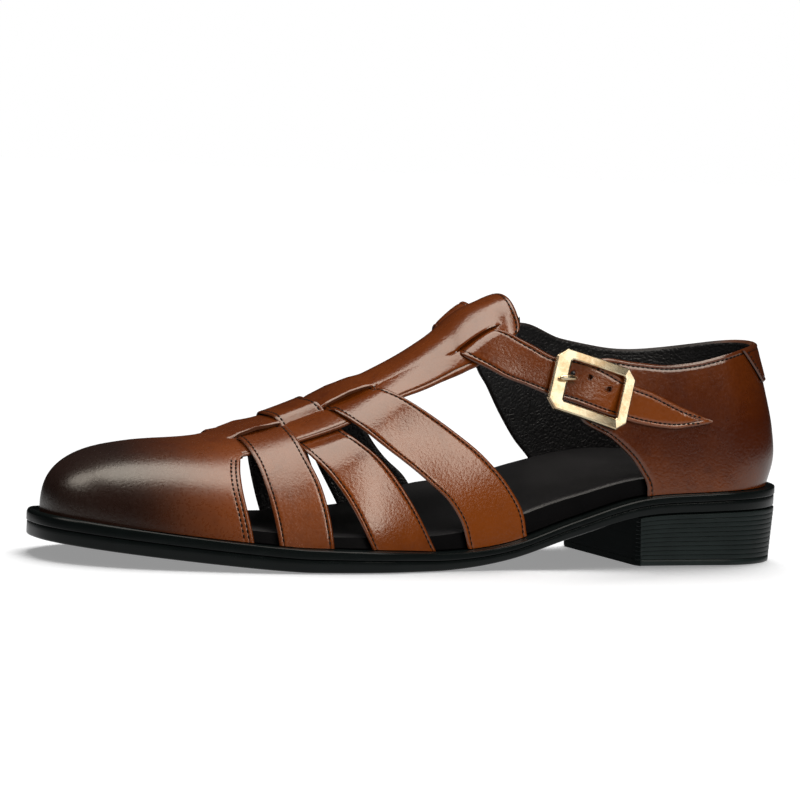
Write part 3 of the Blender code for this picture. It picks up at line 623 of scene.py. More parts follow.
outer_arcs, inner_arcs = -margin_columns(outer_ridge), margin_columns(inner_ridge)
ridge_arcs = (outer_ridge + inner_ridge)[:, None] * RIDGE_COLUMNS[None, :] - outer_ridge[:, None]
tongue_seam = []
strips = [
    strip("bar_outer", outer_arcs, margin_level, bar_half[:, None] + outer_arcs),
    strip("bar_ridge", ridge_arcs, ridge_level, np.full(ridge_arcs.shape, 30.0)),
    strip("bar_inner", inner_arcs, margin_level, bar_half[:, None] - inner_arcs),
]
print("bar strips:", [len(piece.data.vertices) for piece in strips], "vertices")

# %% The toe, row by row from its back edge to the tip
root_arcs = np.concatenate([outer_arcs[-1], ridge_arcs[-1][1:-1], inner_arcs[-1][::-1]])
root_turns = turn_at_arc(np.full(len(root_arcs), BAR_ROOT), root_arcs)
SIDE_COLUMNS = 46
low = np.linspace(0.0, root_turns[0], SIDE_COLUMNS + 1)[:-1]
high = np.linspace(root_turns[-1], 1.0, SIDE_COLUMNS + 1)[1:]
vamp_turns = np.concatenate([low, root_turns, high])
inner_shift = INNER_VAMP_SHIFT * np.clip((high - root_turns[-1]) / 0.08, 0.0, 1.0)
vamp_edge = np.concatenate([
    curve(VAMP_EDGE, low), np.full(len(root_arcs), BAR_ROOT), curve(VAMP_EDGE, 1.0 - high) + inner_shift])
SECOND_SEAM, SECOND_SEAM_AT = 3.5, len(CROWDED)
near_rows = np.concatenate([CROWDED, [SECOND_SEAM, 3.8, 4.2, 5.0, 6.0]])
start = to_p(vamp_edge + near_rows[-1])
far_rows = np.linspace(0.0, 1.0, 66)[1:]
stations = [vamp_edge + d for d in near_rows] + [to_station(start + (1.0 - start) * w) for w in far_rows]
vamp_station = np.array(stations)
vamp_turn = np.broadcast_to(vamp_turns, vamp_station.shape).copy()
vamp_turn[-1] = 0.5
vamp_arc = np.abs(arc_at(np.minimum(vamp_station, 285.0), vamp_turn))
vamp_level = ridge_level(vamp_station, vamp_arc, 11.5) * (vamp_arc < 11.6)
vamp_points = place(vamp_station, vamp_turn, vamp_level)
free_edge = np.concatenate([np.ones(SIDE_COLUMNS), np.zeros(len(root_arcs)), np.ones(SIDE_COLUMNS)])
free_edge[SIDE_COLUMNS - 3:SIDE_COLUMNS] = (0.8, 0.5, 0.2)
free_edge[-SIDE_COLUMNS:-SIDE_COLUMNS + 3] = (0.2, 0.5, 0.8)
vamp_rim = run_of(vamp_points, 0)
vamp_level = vamp_level + (relief(vamp_rim) + sunk(vamp_rim, SECOND_SEAM)) * free_edge
vamp_rim = np.where(free_edge > 0.5, np.minimum(vamp_rim, 30.0), 30.0)
vamp_tone = 0.44 + 0.24 * np.clip((vamp_arc - 12.0) / 26.0, 0.0, 1.0)
vamp = grid_piece("vamp", place(vamp_station, vamp_turn, vamp_level), {"rim": vamp_rim, "tone_and_floor_light": vamp_tone})
vamp = join("vamp_and_bar", [vamp] + strips)
weld(vamp, 0.03)
hand_over(wall(vamp, LEATHERS), "upper_leather", "upper")

# %% [markdown]
# ## Cross straps
# Three straps cross the forefoot. The front and rear ones lie over the margins of the bar and dive under
# its ridge; the middle one does the opposite. They could be modelled flat and bent, but their edges would
# have to be fitted again after each bend. Here the edges come from the photograph, as stations at a few
# turns round the foot.

# %% Tables of the straps
STRAPS = {
    "front": (
        ((0.0, 224.3, 203.5), (0.1, 225.9, 205.0), (0.18, 226.8, 206.6), (0.26, 227.5, 208.8),
         (0.33, 228.4, 209.8), (0.42, 229.2, 210.6), (0.5, 229.4, 211.0)),
        ((0.0, 229.0, 208.4), (0.1, 229.5, 208.8), (0.18, 229.5, 209.4), (0.26, 229.5, 209.8),
         (0.33, 229.4, 210.2), (0.42, 229.4, 210.6), (0.5, 229.4, 211.0)),
    ),
    "middle": (
        ((0.0, 188.3, 160.5), (0.06, 192.8, 166.8), (0.12, 197.2, 173.3), (0.19, 202.3, 180.6),
         (0.29, 208.8, 190.7), (0.4, 211.0, 194.2), (0.5, 212.5, 196.5)),
        ((0.0, 196.0, 169.0), (0.06, 199.0, 173.4), (0.12, 201.8, 178.0), (0.19, 205.0, 183.2),
         (0.29, 209.2, 191.2), (0.4, 211.2, 194.4), (0.5, 212.5, 196.5)),
    ),
    "rear": (
        ((0.0, 146.0, 119.8), (0.05, 149.2, 122.2), (0.09, 154.8, 128.0), (0.13, 163.0, 135.8),
         (0.2, 175.6, 149.2), (0.3, 187.4, 165.0), (0.4, 193.6, 174.6), (0.5, 195.5, 177.0)),
        ((0.0, 164.0, 134.0), (0.05, 168.5, 138.5), (0.09, 172.6, 143.5), (0.13, 176.6, 151.5),
         (0.2, 182.5, 161.0), (0.3, 189.0, 169.5), (0.4, 193.8, 175.0), (0.5, 195.5, 177.0)),
    ),
}
# distance from the crown, level of the strap's outer face
STRAP_LEVEL = {
    "front": (
        (0.0, -0.2), (9.0, -0.2), (11.0, -0.5), (12.6, -0.45), (16.6, 1.45), (19.0, 1.6), (200.0, 1.6)),
    "middle": (
        (0.0, 2.7), (7.0, 2.65), (9.2, 2.25), (12.1, 0.1), (13.2, -0.7), (16.0, -1.6), (200.0, -1.6)),
    "rear": (
        (0.0, 0.3), (9.0, 0.3), (11.0, -0.35), (12.6, -0.35), (16.6, 1.45), (19.0, 1.6), (200.0, 1.6)),
}

# how much lighter the leather is low on the side: partly its own tone, partly painted light from the bright
# floor
STRAP_TONE_AND_FLOOR_LIGHT = {"front": 0.22, "middle": 0.28, "rear": 0.42}


def strap_level(name, arc):
    """Level by the distance from the crown; past the bar's edge it eases to the side of the foot."""
    crossing = soft_line(STRAP_LEVEL[name], arc, 1, 0.8)
    start, run = (25.0, 9.0) if name == "middle" else (22.0, 24.0)
    t = np.clip((arc - start) / run, 0.0, 1.0)
    return crossing + (-0.1 - crossing) * (3 * t**2 - 2 * t**3)


def strap_edges(name, turn):
    outer, inner = STRAPS[name]
    fold = np.minimum(turn, 1.0 - turn)
    front = np.where(turn < 0.5, curve(outer, fold, 1), curve(inner, fold, 1))
    return front, np.where(turn < 0.5, curve(outer, fold, 2), curve(inner, fold, 2))


# %% Lay the straps
STRAP_TURNS = np.linspace(0.0, 1.0, 161)
seams = []


def cross_strap(name):
    front, back = strap_edges(name, STRAP_TURNS)
    width = np.linalg.norm(surface(front, STRAP_TURNS) - surface(back, STRAP_TURNS), axis=1)
    across = np.array([crowded(w) for w in width])
    station = front[:, None] - (front - back)[:, None] * across / width[:, None]
    turn = np.broadcast_to(STRAP_TURNS[:, None], station.shape)
    level = strap_level(name, np.abs(arc_at(station, turn)))
    rim = np.minimum(across, width[:, None] - across)
    # paler low on the side: partly the leather's tone, partly painted light from the floor
    side = np.clip((np.abs(arc_at(station, turn)) - 20.0) / 35.0, 0.0, 1.0)
    facts = {"rim": rim, "tone_and_floor_light": 0.42 + STRAP_TONE_AND_FLOOR_LIGHT[name] * side}
    piece = grid_piece("strap_" + name, place(station, turn, level + relief(rim)), facts)
    for column in SEAM_COLUMNS:
        lifted = place(station[:, column], turn[:, column], level[:, column] + relief(SEAM))
        seams.append((lifted, normal(station[:, column], turn[:, column])))
    return hand_over(wall(piece, LEATHERS), "upper_leather", "upper")


for strap_name in STRAPS:
    cross_strap(strap_name)

# %% [markdown]
# ## Quarter
# The quarter wraps the heel. It is lower on the outer side, where the buckle sits, and climbs on the inner
# side to meet the ankle strap. It could be two halves sewn at the back, but one grid, from the outer front
# edge round the heel to the inner front edge, needs no joint there.

# %% Quarter
OUTER_FRONT = (
    (0.0, 67.2), (4.2, 67.7), (11.0, 71.2), (17.6, 75.5), (25.4, 83.1), (35.4, 95.8), (45.0, 100.0),
    (58.0, 98.0),
)
INNER_FRONT = (
    (0.0, 85.0), (7.4, 87.0), (16.6, 91.9), (25.6, 99.1), (36.0, 105.9), (48.9, 113.3), (59.3, 119.5),
    (67.0, 119.0), (73.0, 114.0),
)
OUTER_TOP = (
    (3.6, 55.5), (20.0, 54.0), (30.0, 52.4), (46.0, 50.0), (60.0, 49.6), (73.0, 52.2), (87.0, 56.8),
    (98.0, 57.2),
)
INNER_TOP = (
    (3.6, 55.5), (15.5, 53.2), (36.8, 51.3), (60.6, 52.7), (80.8, 59.3), (101.0, 71.4), (112.0, 74.0),
    (122.0, 75.4),
)


def top_of(p, stations):
    return np.where(p < 0, curve(OUTER_TOP, stations), curve(INNER_TOP, stations))


def quarter():
    up = np.concatenate([np.linspace(0.0, 1.0 - 4.4 / 55.0, 44), 1.0 - CROWDED[::-1] / 55.0])
    ends = CROWDED / 340.0
    around = np.concatenate([ends, np.linspace(ends[-1], 1.0 - ends[-1], 162)[1:-1], 1.0 - ends[::-1]])
    first = -to_p(curve(OUTER_FRONT, up * OUTER_TOP[-1][1]))
    last = to_p(curve(INNER_FRONT, up * INNER_FRONT[-1][0]))
    p = first[:, None] + (last - first)[:, None] * around[None, :]
    station = to_station(np.abs(p))
    turn = turn_at_height(station, up[:, None] * top_of(p, station), np.where(p < 0, -1.0, 1.0))
    base = place(station, turn)
    from_front = np.minimum(run_of(base, 1), run_of(base, 1, back=True))
    rim = np.minimum(run_of(base, 0, back=True), 0.85 * from_front)
    # darkest at mid height, paler towards the top and front; near the bottom it is painted paler as light
    # from the bright floor
    low = np.clip(1.0 - up[:, None] / 0.3, 0.0, 1.0)
    forward = np.clip((station - 55.0) / 30.0, 0.0, 1.0)
    tone_and_floor_light = 0.16 + 0.22 * np.abs(2.0 * up[:, None] - 0.9) + 0.14 * forward + 0.1 * low
    piece = grid_piece("quarter", place(station, turn, relief(rim)), {"rim": rim, "tone_and_floor_light": tone_and_floor_light})
    out = normal(station, turn)
    seamed = place(station, turn, relief(SEAM))
    row = len(up) - 1 - SEAM_AT
    seams.append((seamed[row, SEAM_AT:-SEAM_AT], out[row, SEAM_AT:-SEAM_AT]))
    for column in (SEAM_AT + 1, -SEAM_AT - 2):
        seams.append((seamed[:row + 1, column], out[:row + 1, column]))
    return hand_over(wall(piece, LEATHERS), "upper_leather", "upper")


quarter()

# %% [markdown]
# ## Ankle strap
# The strap leaves the inner side of the quarter, passes through the slits of the bar and ends in a sewn
# point under the buckle. A curve with a flat bevel would be quicker, but its edges could not follow the
# photograph. So it is laid along its run, edge to edge, and its holes are punched with a Boolean.

# %% Ankle strap
# upper edge station and turn, lower edge station and turn, level
ANKLE = (
    (103.5, 0.698, 117.0, 0.765, 0.25), (111.0, 0.680, 122.0, 0.738, 0.3), (118.5, 0.668, 130.0, 0.702, 0.5),
    (125.0, 0.656, 138.0, 0.672, 1.6), (128.0, 0.643, 141.2, 0.650, 1.6), (129.6, 0.602, 141.8, 0.612, 0.5),
    (129.0, 0.504, 143.0, 0.503, 0.5), (127.4, 0.400, 143.6, 0.390, 0.5), (127.6, 0.358, 142.8, 0.347, 1.6),
    (122.0, 0.328, 138.2, 0.303, 1.65), (115.8, 0.297, 129.6, 0.259, 1.9), (107.3, 0.259, 119.5, 0.231, 1.9),
    (99.9, 0.245, 110.0, 0.203, 1.9), (91.2, 0.222, 97.0, 0.172, 2.4), (76.0, 0.170, 84.0, 0.139, 1.8),
    (66.0, 0.149, 72.0, 0.114, 1.7), (56.0, 0.130, 59.0, 0.101, 1.6), (48.0, 0.117, 49.0, 0.102, 1.6),
    (41.2, 0.107, 41.4, 0.105, 1.55),
)
# distance from the crown, outer side first: under the ridge, then up over the margins
ANKLE_LEVEL = (
    (-60.0, 1.65), (-22.5, 1.6), (-20.0, 1.2), (-17.6, -0.5), (-14.0, -1.5), (3.0, -1.6), (5.0, -1.0),
    (8.2, 3.3), (10.0, 3.8), (13.0, 3.4), (25.0, 1.6), (60.0, 1.6),
)
# each hole: place along the strap, share of its width
HOLES = ((12.33, 0.37), (12.98, 0.33), (13.55, 0.40))


def ankle_rows(at):
    data = np.array(ANKLE)
    key = np.arange(len(data), dtype=float)
    s0, t0, s1, t1 = (curve(np.stack([key, data[:, c]], 1), at) for c in range(4))
    level = soft_line(np.stack([key, data[:, 4]], 1), at, 1, 0.2)
    crossing = soft_line(ANKLE_LEVEL, arc_at((s0 + s1) / 2, (t0 + t1) / 2), 1, 0.8)
    return s0, t0, s1, t1, np.where((at > 3.4) & (at < 8.6), crossing, level)


def ankle_strap():
    at = np.linspace(0.0, len(ANKLE) - 1.0, 241)
    s0, t0, s1, t1, level = ankle_rows(at)
    width = np.linalg.norm(place(s0, t0) - place(s1, t1), axis=1)
    across = np.array([crowded(w) for w in width])
    f = across / width[:, None]
    station = s0[:, None] + (s1 - s0)[:, None] * f
    turn = t0[:, None] + (t1 - t0)[:, None] * f
    rim = np.minimum(across, width[:, None] - across)
    lean = np.clip(1.0 - np.abs(at - 5.0) / 1.2, 0.0, 1.0)[:, None]
    level = level[:, None] + lean * (0.3 - 2.2 * f)
    rim = np.minimum(rim, run_of(place(station, turn, level), 0))
    fade = np.clip(width / 8.0, 0.0, 1.0)[:, None]
    # the tip is painted paler, standing for the bright floor's glow in its polish
    tone_and_floor_light = np.broadcast_to(0.44 + 0.42 * np.clip((at[:, None] - 12.5) / 2.0, 0.0, 1.0), rim.shape)
    points = place(station, turn, level + relief(rim) * fade)
    piece = grid_piece("ankle_strap", points, {"rim": rim, "tone_and_floor_light": tone_and_floor_light})
    sewn, out = place(station, turn, level + relief(SEAM) * fade), normal(station, turn)
    for shown in ((at > 0.6) & (at < 4.4), (at > 8.2) & (at < 17.4)):
        seams.extend((sewn[shown, column], out[shown, column]) for column in SEAM_COLUMNS)
    return wall(piece, LEATHERS)


ankle = ankle_strap()

# %% Punch the holes
for run, part in HOLES:
    s0, t0, s1, t1, level = (float(v) for v in ankle_rows(np.array(run)))
    spot = (s0 + (s1 - s0) * part, t0 + (t1 - t0) * part)
    at_hole, out = place(*spot, level), normal(*spot)
    bpy.ops.object.select_all(action="DESELECT")
    rotation = Vector(out).to_track_quat("Z", "Y").to_euler()
    bpy.ops.mesh.primitive_cylinder_add(
        vertices=20, radius=0.95 * MM, depth=8 * MM, location=at_hole * MM, rotation=rotation)
    punch = bpy.context.object
    cut = ankle.modifiers.new("hole", "BOOLEAN")
    cut.operation = "DIFFERENCE"
    cut.solver = "EXACT"
    cut.object = punch
    bpy.context.view_layer.objects.active = ankle
    bpy.ops.object.modifier_apply(modifier="hole")
    bpy.data.objects.remove(punch)
hand_over(ankle, "upper_leather", "upper")

# %% [markdown]
# ## Heel tab
# A small V of leather covers the back seam under the collar. It could be painted on as a texture. A thin
# grid laid over the quarter gives it an edge that catches the light.

# %% Heel tab
TAB_STATION, TAB_BOTTOM_STATION, TAB_BOTTOM, TAB_LEVEL, TAB_THICK = 20.6, 11.0, 40.5, 1.25, 1.1


def heel_tab():
    up = np.concatenate([[0.0, 0.02, 0.05, 0.09], np.linspace(0.13, 0.85, 14), [0.9, 0.94, 0.97, 1.0]])
    reach = to_p(TAB_BOTTOM_STATION + (TAB_STATION - TAB_BOTTOM_STATION) * up)
    around = np.concatenate([CROWDED / 42.0, np.linspace(0.1, 0.9, 23), 1.0 - CROWDED[::-1] / 42.0])
    p = reach[:, None] * (2.0 * around[None, :] - 1.0)
    station = to_station(np.abs(p))
    height = TAB_BOTTOM + (top_of(p, station) - 0.3 - TAB_BOTTOM) * up[:, None]
    turn = turn_at_height(station, height, np.where(p < 0, -1.0, 1.0))
    base = place(station, turn, 1.2)
    rim = np.minimum(run_of(base, 1), run_of(base, 1, back=True))
    rim = np.minimum(rim, np.minimum(run_of(base, 0), run_of(base, 0, back=True)))
    facts = {"rim": rim, "tone_and_floor_light": np.full(rim.shape, 0.3)}
    piece = grid_piece("heel_patch", place(station, turn, TAB_LEVEL + relief(rim)), facts)
    sewn, out = place(station, turn, TAB_LEVEL + relief(SEAM)), normal(station, turn)
    seams.extend((sewn[:, column], out[:, column]) for column in SEAM_COLUMNS)
    return hand_over(wall(piece, LEATHERS, TAB_THICK), "upper_leather", "heel_tab")


heel_tab()

# %% [markdown]
# ## Stitches
# Every seam is sewn with dark thread. A dashed line in the material would look flat from the side, so one
# small stitch is modelled from a sphere and repeated along each seam, half sunk into its trough.

# %% One stitch, and its copies
STITCH_PITCH, STITCH_LONG, STITCH_WIDE, STITCH_TALL = 2.05, 1.5, 0.8, 0.5


def thread():
    finish = Finish("dark_thread", roughness=0.8, specular_ior_level=0.1)
    twist = finish.noise(2600.0, 1.0)
    finish.feed("Base Color", finish.mix(twist, (0.004, 0.003, 0.003), (0.014, 0.009, 0.006)))
    return finish.material


def sew(name, lines):
    bpy.ops.object.select_all(action="DESELECT")
    bpy.ops.mesh.primitive_uv_sphere_add(segments=8, ring_count=5, radius=0.5)
    one = bpy.context.object
    shape = np.array([v.co for v in one.data.vertices]) * (STITCH_WIDE, STITCH_TALL, STITCH_LONG)
    faces = [tuple(face.vertices) for face in one.data.polygons]
    bpy.data.objects.remove(one)
    points, polygons = [], []
    for line, out in lines:
        run = np.concatenate([[0.0], np.cumsum(np.linalg.norm(np.diff(line, axis=0), axis=1))])
        marks = np.arange(STITCH_PITCH, run[-1] - 0.5 * STITCH_PITCH, STITCH_PITCH)
        for mark in marks:
            a, b, up, at = [
                np.array([np.interp(m, run, source[:, k]) for k in range(3)])
                for m, source in ((mark - 0.6, line), (mark + 0.6, line), (mark, out), (mark, line))]
            along = (b - a) / np.linalg.norm(b - a)
            side = np.cross(up, along)
            side = side / np.linalg.norm(side)
            up = np.cross(along, side)
            first = len(points)
            points += (at + 0.06 * up + shape @ np.array([side, up, along])).tolist()
            polygons += [tuple(first + v for v in face) for face in faces]
    mesh = bpy.data.meshes.new(name)
    mesh.from_pydata((np.array(points) * MM).tolist(), [], polygons)
    sewn = bpy.data.objects.new(name, mesh)
    bpy.context.scene.collection.objects.link(sewn)
    mesh.materials.append(thread())
    print(len(points) // len(shape), "stitches")
    return sewn


vamp_seams = []
for columns in (slice(0, SIDE_COLUMNS), slice(-SIDE_COLUMNS, None)):
    for row in (SEAM_AT, SECOND_SEAM_AT):
        where = (vamp_station[row, columns], vamp_turn[row, columns])
        vamp_seams.append((place(*where, -0.16), normal(*where)))
outer_end, ridge_end, inner_end = tongue_seam
vamp_seams.append(tuple(
    np.concatenate([outer_end[k][5:], ridge_end[k], inner_end[k][::-1][:-5]]) for k in (0, 1)))
hand_over(sew("stitches", seams + vamp_seams), "upper_leather", angle=60.0)

# %% [markdown]
# ## Insole
# The footbed is black leather with a crisp lip and a high inner arch. It could be a sculpted cushion. Here
# it is lofted across the foot, station by station, from the same heights as the CAD solid, with a narrow
# lip at both edges that catches the light. Its sides have less shine, and their colour is a darker copy
# of the top's, painted as shade.

# %% Insole
# station, height at the outer edge, middle and inner edge
FOOTBED = (
    (0.0, 8.0, 6.5, 9.5), (60.0, 7.5, 6.5, 13.0), (92.0, 8.3, 8.0, 16.0), (120.0, 9.0, 9.5, 17.5),
    (140.0, 7.6, 9.0, 18.6), (168.0, 6.0, 6.5, 9.8), (198.0, 5.0, 4.8, 5.0), (240.0, 5.4, 5.0, 5.4),
    (302.0, 5.0, 4.8, 5.0),
)
FOOTBED_LEVEL, LIP_SHARE, LIP_DROP = -2.4, 0.035, 1.0


def black_insole(name, shine, depth=1.0):
    insole = Finish(name, ior=1.45, specular_ior_level=shine)
    mottled = insole.noise(60.0, 4.0, 0.6)
    fine = insole.noise(1300.0, 2.0)
    dark, pale = deepened((0.006, 0.006, 0.0068), depth), deepened((0.015, 0.0145, 0.016), depth)
    insole.feed("Base Color", insole.mix(mottled, dark, pale))
    insole.feed("Roughness", 0.30 + mottled * 0.12)
    insole.bump(fine * 0.6 + mottled, 0.25, 0.2)
    return insole.material


def insole():
    stations = to_station(np.linspace(0.0, float(to_p(UPPER_TIP - 7.0)), 120))
    across = np.concatenate([
        [0.0, 0.012, 0.03, 0.055], np.linspace(0.085, 0.915, 19), [0.945, 0.97, 0.988, 1.0]])
    top = np.empty((len(stations), len(across), 3))
    sides = np.empty((len(stations), 2, 3))
    for i, s in enumerate(stations):
        heights = [float(curve(FOOTBED, s, c)) for c in (1, 2, 3)]
        limit = 0.8 * float(crown(s))
        rim = (min(heights[0], limit), min(heights[2], limit))
        ends = [place(s, turn_at_height(s, h, side), FOOTBED_LEVEL) for h, side in zip(rim, (-1.0, 1.0))]
        t = across[:, None]
        top[i] = ends[0] * (1 - t) + ends[1] * t
        lip = np.clip(1.0 - np.minimum(across, 1 - across) / LIP_SHARE, 0.0, 1.0) ** 2
        rise = heights[0] * (1 - across) ** 2 + heights[2] * across**2
        rise = rise + 2 * heights[1] * across * (1 - across)
        top[i, :, 2] = float(seat(s)) + GAP + rise - LIP_DROP * lip
        sides[i] = [place(s, turn_at_height(s, 0.4, side), FOOTBED_LEVEL) for side in (-1.0, 1.0)]
    points = np.concatenate([sides[:, :1], top, sides[:, 1:], sides[:, :1]], axis=1)
    tips = [np.broadcast_to(points[row].mean(0), points[:1].shape) for row in (0, -1)]
    piece = grid_piece("footbed", np.concatenate([tips[0], points, tips[1]]), wrap=True)
    # the sides take a copy of the finish painted darker as shade, with less shine
    for finish in (black_insole("black_insole", 0.45), black_insole("black_insole_side_painted_shade", 0.06, 0.3)):
        piece.data.materials.append(finish)
    for face in piece.data.polygons:
        face.material_index = 1 if face.normal.z < 0.3 else 0
    return hand_over(piece, "insole_leather", "insole")


insole()

# %% [markdown]
# ## Sole and heel
# Welt, outsole, heel and top lift are black. A plain sole could be an extruded outline with a Bevel
# modifier. Here each piece is a ring round the sole's outline, repeated up a short profile and closed over
# a spine down the middle, so the profile can also draw the bead round the toe and the layers of the heel.
# The fine bright lines in the photograph are these bevels catching the light. The front of the heel has a
# duller finish, because it lies in shade.

# %% Rings round the sole
def outline(count=150):
    """The sole's edge as stations and offsets, outer side first, closed, with its inward directions."""
    s = LENGTH * 0.5 * (1.0 - np.cos(np.linspace(0.0, np.pi, count)))
    outer = np.stack([s, sole_centre(s) - sole_half(s)], 1)
    inner = np.stack([s, sole_centre(s) + sole_half(s)], 1)[::-1][1:]
    ring = np.concatenate([outer, inner])
    return ring, inward(ring)


def inward(ring):
    body = ring[:-1]
    tangent = np.roll(body, -1, 0) - np.roll(body, 1, 0)
    away = np.stack([-tangent[:, 1], tangent[:, 0]], 1)
    away = away / (np.linalg.norm(away, axis=1, keepdims=True) + 1e-9)
    if np.sum(away * (body.mean(0) - body)) < 0:
        away = -away
    return np.concatenate([away, away[:1]])


def sole_rows(ring, away, profile, height):
    """Rows of points: the profile gives each an inset, a share of the height and a height added to it."""
    rows = []
    for inset, part, extra in profile:
        at = ring + away * inset
        rows.append(np.stack([LENGTH / 2.0 - at[:, 0], at[:, 1], height(at[:, 0], part) + extra], 1))
    return rows


def spine(ring, height, part):
    s = np.clip(ring[:, 0], 14.0, LENGTH - 14.0)
    return np.stack([LENGTH / 2.0 - s, sole_centre(s), height(s, part)], 1)


# %% Sole finish
SOLE_SMOOTH = 35.0


def sole_black(name, rough, lines, shine=0.18, depth=1.0):
    black = Finish(name, ior=1.5, specular_ior_level=shine)
    mottled = black.noise(90.0, 4.0, 0.6)
    streaks = black.noise(1.0, 2.0, 0.6, black.stretched((40.0, 40.0, lines)))
    dark, pale = deepened((0.002, 0.003, 0.003), depth), deepened((0.005, 0.0075, 0.0075), depth)
    black.feed("Base Color", black.mix(mottled, dark, pale))
    black.feed("Roughness", rough + streaks * 0.12)
    black.bump(streaks, 0.25, 0.12)
    return black.material


ring, away = outline()
WELT_SPLIT = 0.6


def at_height(s, part):
    return sole_under(s) + part * sole_thick(s)


# %% Outsole and welt
def sole_piece(name, node, profile, low, high, finish):
    """A slice of the sole between two shares of its height."""
    rows = [spine(ring, at_height, low)] + sole_rows(ring, away, profile, at_height)
    rows.append(spine(ring, at_height, high))
    piece = grid_piece(name, np.array(rows), wrap=True)
    piece.data.materials.append(finish)
    return hand_over(piece, "sole_rubber", node, angle=SOLE_SMOOTH)


outsole_profile = (
    (12.0, 0.0, 0.0), (3.0, 0.0, 0.0), (1.3, 0.0, 0.0), (0.8, 0.0, 0.12), (0.4, 0.0, 0.4), (0.2, 0.0, 0.8),
    (0.2, WELT_SPLIT, -0.7), (0.26, WELT_SPLIT, -0.42), (0.5, WELT_SPLIT, -0.2), (4.0, WELT_SPLIT, -0.2))
outsole_finish = sole_black("outsole_rubber", 0.16, 900.0)
sole_piece("outsole_black", "outsole", outsole_profile, 0.0, WELT_SPLIT, outsole_finish)

# inset, height, how far the bead round the toe moves it in and up
WELT_RIM = (
    (0.0, -0.6, 0.0, 0.0), (0.06, -0.32, 0.14, 0.4), (0.22, -0.1, 0.38, 0.8), (0.5, 0.0, 0.6, 1.0),
    (1.6, 0.0, 0.3, 0.9), (2.0, -0.25, 0.3, 0.3))
BEAD_START, BEAD_RUN = 236.0, 60.0
bead = np.clip((ring[:, 0] - BEAD_START) / BEAD_RUN, 0.0, 1.0) ** 2
welt_profile = [
    (4.0, WELT_SPLIT, 0.0), (0.7, WELT_SPLIT, 0.0), (0.16, WELT_SPLIT, 0.1), (0.0, WELT_SPLIT, 0.3)]
welt_profile += [
    (inset + pull * bead[:, None], 1.0, extra + rise * bead) for inset, extra, pull, rise in WELT_RIM]
welt_profile += [(2.6, 1.0, -0.25), (3.0, 1.0, 0.0), (6.0, 1.0, 0.0), (12.0, 1.0, 0.0)]
welt_finish = sole_black("welt_leather", 0.16, 700.0)
sole_piece("welt_black", "welt", welt_profile, WELT_SPLIT, 1.0, welt_finish)

# %% Heel
HEEL_LENGTH, TOP_LIFT, HEEL_TAPER, HEEL_LAYERS = 72.0, 2.3, 1.2, 10
# inset and height of the rounded edge of a layer
LAYER_EDGE = ((0.22, 0.03), (0.03, 0.13), (0.0, 0.3))


def heel_outline():
    s = HEEL_LENGTH * (1.0 - np.cos(np.linspace(0.0, np.pi / 2, 60)))
    outer = np.stack([s, sole_centre(s) - sole_half(s)], 1)[::-1]
    inner = np.stack([s, sole_centre(s) + sole_half(s)], 1)[1:]
    breast = np.stack([np.full(19, HEEL_LENGTH), np.linspace(inner[-1, 1], outer[0, 1], 21)[1:-1]], 1)
    closed = np.concatenate([outer, inner, breast, outer[:1]])
    side = np.concatenate([np.ones(len(outer) + len(inner)), np.zeros(len(breast)), [1.0]])
    return closed, side


heel_ring, heel_side = heel_outline()
heel_away = inward(heel_ring)
heel_away[heel_side < 0.5] = 0.0


def heel_rows(profile, top, bottom):
    rows = []
    for inset, part, extra in profile:
        at = heel_ring + heel_away * inset
        z = bottom + part * (top(at[:, 0]) - bottom) + extra
        rows.append(np.stack([LENGTH / 2.0 - at[:, 0], at[:, 1], z], 1))
    return rows


def heel_piece(name, node, profile, top, bottom):
    rows = heel_rows(profile, top, bottom)
    caps = []
    for row in (rows[0], rows[-1]):
        middle = row.copy()
        middle[:, 1] = 0.0
        middle[:, 0] = np.clip(middle[:, 0], LENGTH / 2.0 - HEEL_LENGTH, LENGTH / 2.0 - 16.0)
        station = LENGTH / 2.0 - middle[:, 0]
        middle[:, 2] = top(station) if row is rows[-1] else bottom
        caps.append(middle)
    piece = grid_piece(name, np.array([caps[0]] + rows + [caps[1]]), wrap=True)
    piece.data.materials.append(sole_black(name + "_finish", 0.3, 1200.0, depth=2.6))
    # painted shade: the front of the heel takes a copy of the finish 2.6 times darker than its sides, with
    # less shine
    piece.data.materials.append(sole_black(name + "_breast", 0.6, 1200.0, shine=0.03))
    for face in piece.data.polygons:
        if face.normal.x < -0.9:
            face.material_index = 1
    return hand_over(piece, "sole_rubber", node, angle=SOLE_SMOOTH)


stack_profile = []
for layer in range(HEEL_LAYERS):
    low_part, high_part = layer / HEEL_LAYERS, (layer + 1) / HEEL_LAYERS
    taper = HEEL_TAPER * (1.0 - 0.5 * (low_part + high_part))
    stack_profile += [(taper + inset, low_part, rise) for inset, rise in LAYER_EDGE]
    stack_profile += [(taper + inset, high_part, -rise) for inset, rise in LAYER_EDGE[::-1]]
heel_piece("heel_layers", "heel_stack", stack_profile, lambda s: sole_under(s) - GAP, TOP_LIFT + 0.1)
lift_profile = [
    (HEEL_TAPER + 0.35, 0.0, 0.0), (HEEL_TAPER + 0.05, 0.0, 0.35), (HEEL_TAPER, 0.0, 0.8),
    (HEEL_TAPER, 1.0, -0.3), (HEEL_TAPER + 0.2, 1.0, 0.0)]
heel_piece("heel_lift", "top_lift", lift_profile, lambda s: np.full(np.shape(s), TOP_LIFT), 0.0)

# %% [markdown]
# ## Buckle
# An eight-cornered brass frame whose long bars bow with the ankle, and a short prong that rests on its
# toe-side bar. It could be extruded and inset by hand. As a ring of its cut profile its mitred corners
# come for free, and a Bevel modifier softens its edges. The bars are shaded apart, so the light changes at
# each mitre.

